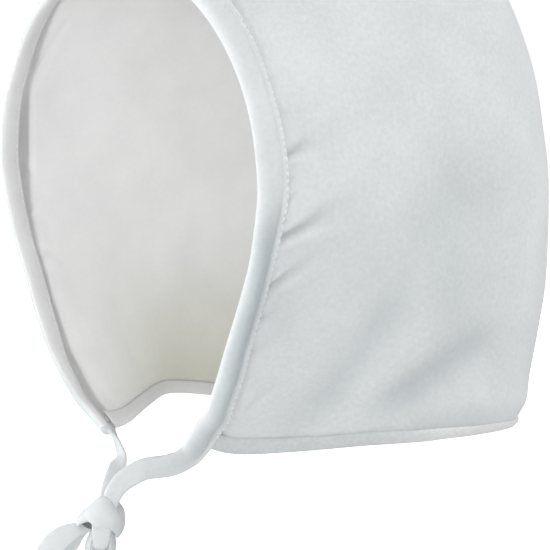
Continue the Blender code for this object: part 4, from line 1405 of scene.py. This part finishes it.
def neck_binding(form, name, materials):
    """Satin strip folded over the lower edge from corner to corner."""
    columns = []
    slots = []
    for share, height, dimple in NECK_SECTION:
        is_inside = height <= NECK_FOLD_HEIGHT
        start = NECK_INNER_START if is_inside else NECK_OUTER_START
        left, right = (
            form.hem_rows(neck_line(form, share, side), start, side, NECK_SEGMENTS // 2)
            for side in (1, -1)
        )
        base, pull = from_both_sides(form, left, right[::-1])
        length = travelled(base)
        lift = height + pull - dimple * stitch_dimple(form, length)
        if CRUMPLE_EDGE < share < 1 - CRUMPLE_EDGE:
            short, long = CRUMPLE_LENGTHS
            lift = lift + CRUMPLE * np.sin(length / short + 3 * share) * np.sin(length / long)
        columns.append(lifted(form, base, lift))
        slots.append(int(is_inside))
    rings = np.stack(columns, axis=1)
    # Painted shade on the satin, along the front part of the left side only
    satin_shade = table_column(NECK_SHADE, 1, rings[..., 1] / form.depth)
    painted_shade = satin_shade * (1 - ease(-rings[..., 0] / FAR_FLARE_START))
    along = travelled(rings.mean(axis=1))
    return ring_object(name, rings, travelled(rings[0]), along, materials, slots, painted_shade)


def smooth_rows(grid, count):
    """Grid with this many rows, smooth through the rows that it had."""
    keys = np.linspace(0.0, 1.0, len(grid))
    wanted = np.linspace(0.0, 1.0, count)
    lines = grid.reshape(len(grid), -1).T
    finer = [table_column(np.column_stack([keys, line]), 1, wanted) for line in lines]
    return np.stack(finer, -1).reshape(count, *grid.shape[1:])


def knot_sheet(bow, name, table, materials):
    """Folded cloth of the knot: a smooth sheet through a table of points, with thickness."""
    grid = smooth_rows(bow.place(table), KNOT_SHEET_ROWS).swapaxes(0, 1)
    grid = smooth_rows(grid, KNOT_SHEET_COLUMNS).swapaxes(0, 1)
    normal = unit(np.cross(np.gradient(grid, axis=1), np.gradient(grid, axis=0)))
    side_power, end_power = KNOT_EDGE_POWERS
    sides = 1 - np.abs(np.linspace(-1.0, 1.0, KNOT_SHEET_COLUMNS)[None, :]) ** side_power
    ends = 1 - np.abs(np.linspace(-1.0, 1.0, KNOT_SHEET_ROWS)[:, None]) ** end_power
    share = KNOT_EDGE_SHARE + (1 - KNOT_EDGE_SHARE) * (sides * ends) ** 0.5
    half = (share * KNOT_CLOTH / 2)[..., None]
    uvs = np.stack([travelled(grid, 1).ravel(), travelled(grid, 0).ravel()], -1)
    return wall_object(name, grid + normal * half, grid - normal * half, uvs, materials * 2)


def knot_core(bow, name, materials):
    """The rounded heart of the knot, behind its outer turns; painted dark as shadow where it shows between
    the wrap and the lip.
    """
    lift = np.pi * np.arange(1, KNOT_SHEET_ROWS) / KNOT_SHEET_ROWS
    turn = 2 * np.pi * np.arange(KNOT_SHEET_COLUMNS) / KNOT_SHEET_COLUMNS
    level = np.repeat(np.cos(lift)[:, None], KNOT_SHEET_COLUMNS, axis=1)
    ring = np.sin(lift)[:, None]
    grid = np.stack([ring * np.cos(turn)[None], level, ring * np.sin(turn)[None]], -1)
    local = rounded_power(grid, KNOT_SQUARENESS) * KNOT_CORE_HALF + KNOT_CORE
    across, near = local[..., 0], local[..., 2]
    open_side = ease((KNOT_OPENING[0] - across) / KNOT_OPENING_EDGE)
    open_face = ease((near - KNOT_OPENING[1]) / KNOT_OPENING_EDGE)
    around, along = turn * KNOT_CORE_HALF[0], lift * KNOT_CORE_HALF[1]
    shadow_in_opening = open_side * open_face
    return ring_object(name, bow.place(local), around, along, materials, painted_shade=shadow_in_opening)


# Materials
# Colours of painted shade, for the panels' folds, the satin and ties, the inner face and the binding's
# roll
PAINTED_SHADE_TINT = (0.70, 0.735, 0.75)
INNER_SHADE_TINT = (0.76, 0.76, 0.68)
ROLL_SHADE_TINT = (0.68, 0.725, 0.74)
BINDING_LIGHTNESS = 1.09
# Colour of the painted shadow inside the knot
KNOT_SHADOW_TINT = (0.23, 0.23, 0.23)
WOBBLE_SCALE = 260.0
WOBBLE = 3.0
CROSSING_RATE = 1.7
SLUB_SCALE = 620.0
PATCH_SCALE = 38.0
TWILL_SHARE = 0.30
CROSSING_SHARE = 0.16
PATCH_SHARE = 0.6
DARK_WEAVE = 0.30
LIGHT_WEAVE = 0.72
ROUGHNESS_CHANGE = 0.06
WEAVE_BUMP = 0.55
THROUGH_DEPTH = 0.004
SHEEN_ROUGHNESS = 0.45
CLOTH_SPECULAR = 0.30
THREAD_SCALE = 1800.0
THREAD_SHADE = 0.90
THREAD_BUMP = 0.5
THREAD_DEPTH = 0.00005


def added(tree, kind, **values):
    """New node: small-letter names are its settings, others its inputs, by value or link."""
    node = tree.nodes.new(kind)
    for name, value in values.items():
        if name.islower():
            setattr(node, name, value)
            continue
        entry = node.inputs[name.replace("_", " ")]
        if isinstance(value, bpy.types.NodeSocket):
            tree.links.new(value, entry)
        else:
            entry.default_value = value
    return node


def set_inputs(node, **values):
    """Give a node's inputs their plain values."""
    for name, value in values.items():
        node.inputs[name.replace("_", " ")].default_value = value


def math_node(tree, operation, a, b=None):
    """Result of a math node on values or other nodes' outputs."""
    node = tree.nodes.new("ShaderNodeMath")
    node.operation = operation
    for entry, value in zip(node.inputs, (a, b)):
        if isinstance(value, bpy.types.NodeSocket):
            tree.links.new(value, entry)
        elif value is not None:
            entry.default_value = value
    return node.outputs[0]


def weave_group():
    """Twill weave with slubs: a height and a tone that change over the cloth."""
    group = bpy.data.node_groups.new("Sateen Weave", "ShaderNodeTree")
    group.interface.new_socket(name="Place", in_out="INPUT", socket_type="NodeSocketVector")
    group.interface.new_socket(name="Pitch", in_out="INPUT", socket_type="NodeSocketFloat")
    group.interface.new_socket(name="Slub", in_out="INPUT", socket_type="NodeSocketFloat")
    group.interface.new_socket(name="Height", in_out="OUTPUT", socket_type="NodeSocketFloat")
    group.interface.new_socket(name="Tone", in_out="OUTPUT", socket_type="NodeSocketFloat")

    def joined(operation, a, b=None):
        return math_node(group, operation, a, b)

    given = group.nodes.new("NodeGroupInput").outputs
    place = given["Place"]
    result = group.nodes.new("NodeGroupOutput").inputs
    parts = added(group, "ShaderNodeSeparateXYZ", Vector=place)
    turn = joined("DIVIDE", 2 * math.pi, given["Pitch"])
    wobble = added(group, "ShaderNodeTexNoise", Scale=WOBBLE_SCALE, Detail=1.0, Vector=place)
    slub = added(group, "ShaderNodeTexNoise", Scale=SLUB_SCALE, Detail=3.0, Roughness=0.65, Vector=place)
    patch = added(group, "ShaderNodeTexNoise", Scale=PATCH_SCALE, Detail=2.0, Vector=place)
    u = joined("MULTIPLY", parts.outputs[0], turn)
    v = joined("MULTIPLY", parts.outputs[1], turn)
    bend = joined("MULTIPLY", wobble.outputs["Fac"], WOBBLE)
    twill = joined("SINE", joined("ADD", joined("ADD", u, v), bend))
    warp = joined("SINE", joined("MULTIPLY", u, CROSSING_RATE))
    weft = joined("SINE", joined("MULTIPLY", v, CROSSING_RATE))
    crossing = joined("MULTIPLY", joined("MULTIPLY", warp, weft), CROSSING_SHARE)
    lumps = joined("MULTIPLY", joined("SUBTRACT", slub.outputs["Fac"], 0.5), given["Slub"])
    threads = joined("ADD", joined("MULTIPLY", twill, TWILL_SHARE), crossing)
    height = joined("ADD", joined("ADD", threads, lumps), 0.5)
    patches = joined("MULTIPLY", patch.outputs["Fac"], PATCH_SHARE)
    tone = joined("ADD", patches, joined("MULTIPLY", height, 1 - PATCH_SHARE))
    group.links.new(height, result["Height"])
    group.links.new(tone, result["Tone"])
    return group


def colour_mix(tree, factor, a, b, blend_type="MIX"):
    """Colour between two colours, each of them a value or another node's output."""
    node = added(tree, "ShaderNodeMix", data_type="RGBA", blend_type=blend_type, Factor=factor, A=a, B=b)
    return node.outputs["Result"]


def cloth_material(name, colour, pitch, group, roughness=0.72, sheen=0.25, depth=0.00018,
                   shade=0.92, slub=0.5, angle=0.0, through=0.0, shade_tint=PAINTED_SHADE_TINT):
    """Woven cloth: tone and bump from the weave, soft sheen from the shader, and painted shade from the
    hollow attribute toward the shade colour.
    """
    material = bpy.data.materials.new(name)
    material.use_nodes = True
    tree = material.node_tree
    place = added(tree, "ShaderNodeUVMap", uv_map="cloth")
    turned = added(tree, "ShaderNodeMapping", Vector=place.outputs["UV"], Rotation=(0.0, 0.0, angle))
    weave = added(tree, "ShaderNodeGroup", node_tree=group, Pitch=pitch, Slub=slub,
                  Place=turned.outputs["Vector"])
    tone = added(tree, "ShaderNodeMapRange", From_Min=DARK_WEAVE, From_Max=LIGHT_WEAVE,
                 Value=weave.outputs["Tone"])
    rough = added(tree, "ShaderNodeMapRange", To_Min=roughness + ROUGHNESS_CHANGE,
                  To_Max=roughness - ROUGHNESS_CHANGE, Value=weave.outputs["Height"])
    dark = (*(c * shade for c in colour), 1.0)
    light = (*(min(c * (2 - shade), 1.0) for c in colour), 1.0)
    plain = colour_mix(tree, tone.outputs["Result"], dark, light)
    # Painted shade: the hollow attribute darkens the colour toward the shade colour
    hollow = added(tree, "ShaderNodeAttribute", attribute_name="hollow")
    shaded = colour_mix(tree, hollow.outputs["Fac"], plain, (*shade_tint, 1.0), "MULTIPLY")
    bump = added(tree, "ShaderNodeBump", Strength=WEAVE_BUMP, Distance=depth,
                 Height=weave.outputs["Height"])
    shader = tree.nodes["Principled BSDF"]
    tree.links.new(shaded, shader.inputs["Base Color"])
    tree.links.new(rough.outputs["Result"], shader.inputs["Roughness"])
    tree.links.new(bump.outputs["Normal"], shader.inputs["Normal"])
    set_inputs(shader, Subsurface_Weight=through, Subsurface_Radius=(1.0, 1.0, 1.0),
               Subsurface_Scale=THROUGH_DEPTH, Sheen_Weight=sheen, Sheen_Roughness=SHEEN_ROUGHNESS,
               Specular_IOR_Level=CLOTH_SPECULAR)
    return material


def materials_made():
    """The bonnet's materials by name, made once."""
    looks = bpy.context.scene.bonnet_looks
    found = {m.name: m for m in bpy.data.materials}
    if "outer_sateen" in found:
        return found
    group = weave_group()
    pitch = looks.weave_pitch
    # Panels: cloth with painted shade in the folds
    cloth_material("outer_sateen", looks.sateen, pitch, group, slub=1.6, through=0.5)
    # Inner face: cloth with painted shade low down and toward the back
    cloth_material("inner_cloth", looks.inside, pitch * 0.9, group, roughness=0.82, sheen=0.15,
                   depth=0.00008, through=0.9, shade_tint=INNER_SHADE_TINT)
    folded = [c * BINDING_LIGHTNESS for c in looks.sateen]
    # Binding: cloth with painted shade beside the welt and on the roll
    cloth_material("binding_sateen", folded, pitch, group, slub=1.0, angle=0.6, shade_tint=ROLL_SHADE_TINT)
    # Neck satin: painted shade along the front of the left side
    cloth_material("neck_satin", looks.satin, pitch * 0.8, group, roughness=0.40, sheen=0.1,
                   depth=0.00012, shade=0.90, slub=2.0, angle=0.8)
    cloth_material("neck_satin_inside", looks.inside, pitch, group, roughness=0.6)
    cloth_material("binding_inside", looks.inside, pitch, group, roughness=0.78, angle=0.6)
    cloth_material("tie_sateen", folded, pitch, group, angle=0.6)
    # The knot's heart: tie cloth painted near black as shadow where it shows
    cloth_material("knot_heart_sateen", folded, pitch, group, sheen=0.0, shade_tint=KNOT_SHADOW_TINT)
    return {m.name: m for m in bpy.data.materials}


def thread_material(looks):
    """Twisted sewing thread: fine ply lines across it."""
    material = bpy.data.materials.new("thread")
    material.use_nodes = True
    tree = material.node_tree
    place = added(tree, "ShaderNodeTexCoord")
    ply = added(tree, "ShaderNodeTexNoise", Scale=THREAD_SCALE, Detail=2.0, Vector=place.outputs["Object"])
    dark = (*(c * THREAD_SHADE for c in looks.thread), 1.0)
    colour = colour_mix(tree, ply.outputs["Fac"], dark, (*looks.thread, 1.0))
    bump = added(tree, "ShaderNodeBump", Strength=THREAD_BUMP, Distance=THREAD_DEPTH,
                 Height=ply.outputs["Fac"])
    shader = tree.nodes["Principled BSDF"]
    tree.links.new(colour, shader.inputs["Base Color"])
    tree.links.new(bump.outputs["Normal"], shader.inputs["Normal"])
    set_inputs(shader, Roughness=0.6, Sheen_Weight=0.2)
    return material


def finished(item, slot, *nodes):
    """Tie a piece to the bonnet and hide the solids that it stands for; the slot is not used."""
    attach(item, "root")
    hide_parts(*nodes)
    return item


CAMERA_AZIMUTH = math.radians(50.0)
CAMERA_ELEVATION = math.radians(6.0)
CAMERA_DISTANCE = 1.3
CAMERA_TARGET = (0.0276, 0.0329, -0.1107)
CAMERA_LENS = 285.05
CAMERA_SENSOR = 36.0
CAMERA_REACH = 60.0


class BONNET_OT_camera(Operator):
    """Camera at the picture's angle, a little above the bonnet on the wearer's left"""

    bl_idname = "bonnet.camera"
    bl_label = "Camera"

    def execute(self, context):
        data = bpy.data.cameras.new("picture_camera")
        data.lens = CAMERA_LENS
        data.sensor_width = CAMERA_SENSOR
        data.clip_end = CAMERA_REACH
        item = bpy.data.objects.new("picture_camera", data)
        context.collection.objects.link(item)
        back = Vector((
            math.sin(CAMERA_AZIMUTH) * math.cos(CAMERA_ELEVATION),
            -math.cos(CAMERA_AZIMUTH) * math.cos(CAMERA_ELEVATION),
            math.sin(CAMERA_ELEVATION),
        ))
        item.location = Vector(CAMERA_TARGET) + back * CAMERA_DISTANCE
        item.rotation_euler = back.to_track_quat("Z", "Y").to_euler()
        context.scene.camera = item
        return {"FINISHED"}


class BONNET_OT_side_panels(Operator):
    """The two halves of the cap, creased where the seams draw them in"""

    bl_idname = "bonnet.side_panels"
    bl_label = "Side Panels"

    def execute(self, context):
        form = CapForm(context.scene.bonnet_sizes)
        made = materials_made()
        materials = [made["outer_sateen"], made["inner_cloth"]]
        for side, word in ((1, "left"), (-1, "right")):
            item = side_panel(form, f"{word}_panel_cloth", side, materials)
            finished(item, f"{word}_panel_sateen", f"{word}_side_panel")
        return {"FINISHED"}


class BONNET_OT_face_binding(Operator):
    """The strip folded round the face edge, which runs on into the chin ties"""

    bl_idname = "bonnet.face_binding"
    bl_label = "Face Binding and Ties"

    def execute(self, context):
        form = CapForm(context.scene.bonnet_sizes)
        bow = BowPlace(context.scene.bonnet_sizes)
        made = materials_made()
        cloth = [made["binding_sateen"], made["binding_inside"]]
        item = face_binding(form, bow, "face_binding_cloth", cloth)
        finished(item, "face_binding_sateen", "face_binding", "chin_tie_left", "chin_tie_right")
        return {"FINISHED"}


class BONNET_OT_stitches(Operator):
    """The stitches along the welt outside and along the binding's edge inside"""

    bl_idname = "bonnet.stitches"
    bl_label = "Stitches"

    def execute(self, context):
        form = CapForm(context.scene.bonnet_sizes)
        thread = [thread_material(context.scene.bonnet_looks)]
        rings = binding_rings(form)
        for name, row, (length, radius) in (
            ("welt_stitches", WELT_ROW, WELT_STITCH),
            ("inner_edge_stitches", INNER_STITCH_ROW, INNER_STITCH),
        ):
            item = stitch_row(name, rings, row, form.pitch, length, radius, thread)
            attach(item, "root")
        return {"FINISHED"}


class BONNET_OT_neck_binding(Operator):
    """The satin strip folded over the lower edge"""

    bl_idname = "bonnet.neck_binding"
    bl_label = "Neck Binding"

    def execute(self, context):
        form = CapForm(context.scene.bonnet_sizes)
        made = materials_made()
        item = neck_binding(form, "neck_binding_cloth", [made["neck_satin"], made["neck_satin_inside"]])
        finished(item, "neck_binding_satin", "neck_binding")
        return {"FINISHED"}


class BONNET_OT_bow(Operator):
    """The knot with its two loops and two free ends"""

    bl_idname = "bonnet.bow"
    bl_label = "Bow"

    def execute(self, context):
        bow = BowPlace(context.scene.bonnet_sizes)
        made = materials_made()
        cloth = [made["tie_sateen"]]
        knot = [
            knot_sheet(bow, "knot_wrap_cloth", KNOT_WRAP, cloth),
            knot_sheet(bow, "knot_lip_cloth", KNOT_LIP, cloth),
            knot_core(bow, "knot_core_cloth", [made["knot_heart_sateen"]]),
        ]
        pieces = [finished(item, "knot_sateen", "bow_knot") for item in knot]
        pieces += [bpy.data.objects["welt_stitches"], bpy.data.objects["inner_edge_stitches"]]
        for name, table, slot, node in (
            ("knot_back_cloth", KNOT_BACK_BAND, "knot_sateen", "bow_knot"),
            ("wide_loop_cloth", WIDE_LOOP, "right_loop_sateen", "bow_loop_right"),
            ("hanging_loop_cloth", HANGING_LOOP, "left_loop_sateen", "bow_loop_left"),
            ("short_end_cloth", SHORT_END, "left_end_sateen", "tie_end_left"),
            ("long_end_cloth", LONG_END, "right_end_sateen", "tie_end_right"),
        ):
            pieces.append(finished(strap_object(name, bow.stations(table), cloth), slot, node))
        return {"FINISHED"}


FLOOR_DROP = 0.012
FLOOR_SIZE = 16.0
FLOOR_GLOW = 1.0
FLOOR_WHITE = (0.90, 0.90, 0.90, 1.0)
FLOOR_ROUGHNESS = 0.9
AIR_GLOW = 0.06
PURE_WHITE = (1.0, 1.0, 1.0, 1.0)
LAMP_SIZE = 1.1
LAMP_AIM = (0.0, 0.06, -0.09)
LAMPS = (
    # name, place in metres, power in watts
    ("high_softbox", (0.847, -0.014, 1.382), 13.0),
    ("face_softbox", (-1.302, -1.033, -0.09), 28.0),
    ("low_front_softbox", (-0.440, -1.582, -0.09), 8.5),
    ("front_softbox", (0.440, -1.582, -0.09), 7.4),
    ("camera_softbox", (1.302, -1.033, -0.09), 10.2),
    ("back_softbox", (0.381, 1.482, 0.76), 13.4),
)


def studio_floor(context):
    """White floor under the bonnet that is pure white where the camera sees it."""
    half = FLOOR_SIZE / 2
    level = CAD_BOX[0][2] - FLOOR_DROP
    mesh = bpy.data.meshes.new("studio_floor")
    corners = [(x * half, y * half, level) for x, y in ((-1, -1), (1, -1), (1, 1), (-1, 1))]
    mesh.from_pydata(corners, [], [(0, 1, 2, 3)])
    floor = bpy.data.objects.new("studio_floor", mesh)
    context.collection.objects.link(floor)
    material = bpy.data.materials.new("studio_white")
    material.use_nodes = True
    tree = material.node_tree
    seen = added(tree, "ShaderNodeLightPath").outputs["Is Camera Ray"]
    shader = tree.nodes["Principled BSDF"]
    set_inputs(shader, Base_Color=FLOOR_WHITE, Roughness=FLOOR_ROUGHNESS, Emission_Color=PURE_WHITE)
    tree.links.new(math_node(tree, "MULTIPLY", seen, FLOOR_GLOW), shader.inputs["Emission Strength"])
    mesh.materials.append(material)
    return floor


def studio_air(context):
    """White surroundings for the camera that light the bonnet only a little."""
    world = bpy.data.worlds.new("studio_air")
    context.scene.world = world
    world.use_nodes = True
    tree = world.node_tree
    seen = added(tree, "ShaderNodeLightPath").outputs["Is Camera Ray"]
    strength = added(tree, "ShaderNodeMapRange", To_Min=AIR_GLOW, Value=seen)
    background = tree.nodes["Background"]
    set_inputs(background, Color=PURE_WHITE)
    tree.links.new(strength.outputs["Result"], background.inputs["Strength"])


def softbox(context, name, place, power):
    """Square lamp that looks at the bonnet."""
    data = bpy.data.lights.new(name, "AREA")
    data.energy = power
    data.size = LAMP_SIZE
    lamp = bpy.data.objects.new(name, data)
    context.collection.objects.link(lamp)
    lamp.location = place
    lamp.rotation_euler = (Vector(LAMP_AIM) - Vector(place)).to_track_quat("-Z", "Y").to_euler()


class BONNET_OT_stage(Operator):
    """Plain white floor and soft studio light"""

    bl_idname = "bonnet.stage"
    bl_label = "Studio"

    def execute(self, context):
        studio_floor(context)
        studio_air(context)
        for lamp in LAMPS:
            softbox(context, *lamp)
        context.scene.view_settings.view_transform = "Standard"
        return {"FINISHED"}


OPERATORS = (
    BONNET_OT_camera,
    BONNET_OT_side_panels,
    BONNET_OT_face_binding,
    BONNET_OT_stitches,
    BONNET_OT_neck_binding,
    BONNET_OT_bow,
    BONNET_OT_stage,
)


class BONNET_PT_sidebar(Panel):
    bl_idname = "BONNET_PT_sidebar"
    bl_label = "Christening Bonnet"
    bl_space_type = "VIEW_3D"
    bl_region_type = "UI"
    bl_category = "Bonnet"

    def draw(self, context):
        layout = self.layout
        for group in (context.scene.bonnet_sizes, context.scene.bonnet_looks):
            box = layout.box()
            for name in group.__annotations__:
                box.prop(group, name)
        for operator in OPERATORS:
            layout.operator(operator.bl_idname)


CLASSES = (BonnetSizes, BonnetLooks, *OPERATORS, BONNET_PT_sidebar)


def register():
    for item in CLASSES:
        bpy.utils.register_class(item)
    bpy.types.Scene.bonnet_sizes = PointerProperty(type=BonnetSizes)
    bpy.types.Scene.bonnet_looks = PointerProperty(type=BonnetLooks)


def unregister():
    del bpy.types.Scene.bonnet_looks
    del bpy.types.Scene.bonnet_sizes
    for item in reversed(CLASSES):
        bpy.utils.unregister_class(item)


def main():
    register()
    bpy.ops.bonnet.camera()
    bpy.ops.bonnet.side_panels()
    bpy.ops.bonnet.face_binding()
    bpy.ops.bonnet.stitches()
    bpy.ops.bonnet.neck_binding()
    bpy.ops.bonnet.bow()
    bpy.ops.bonnet.stage()


if __name__ == "__main__":
    main()
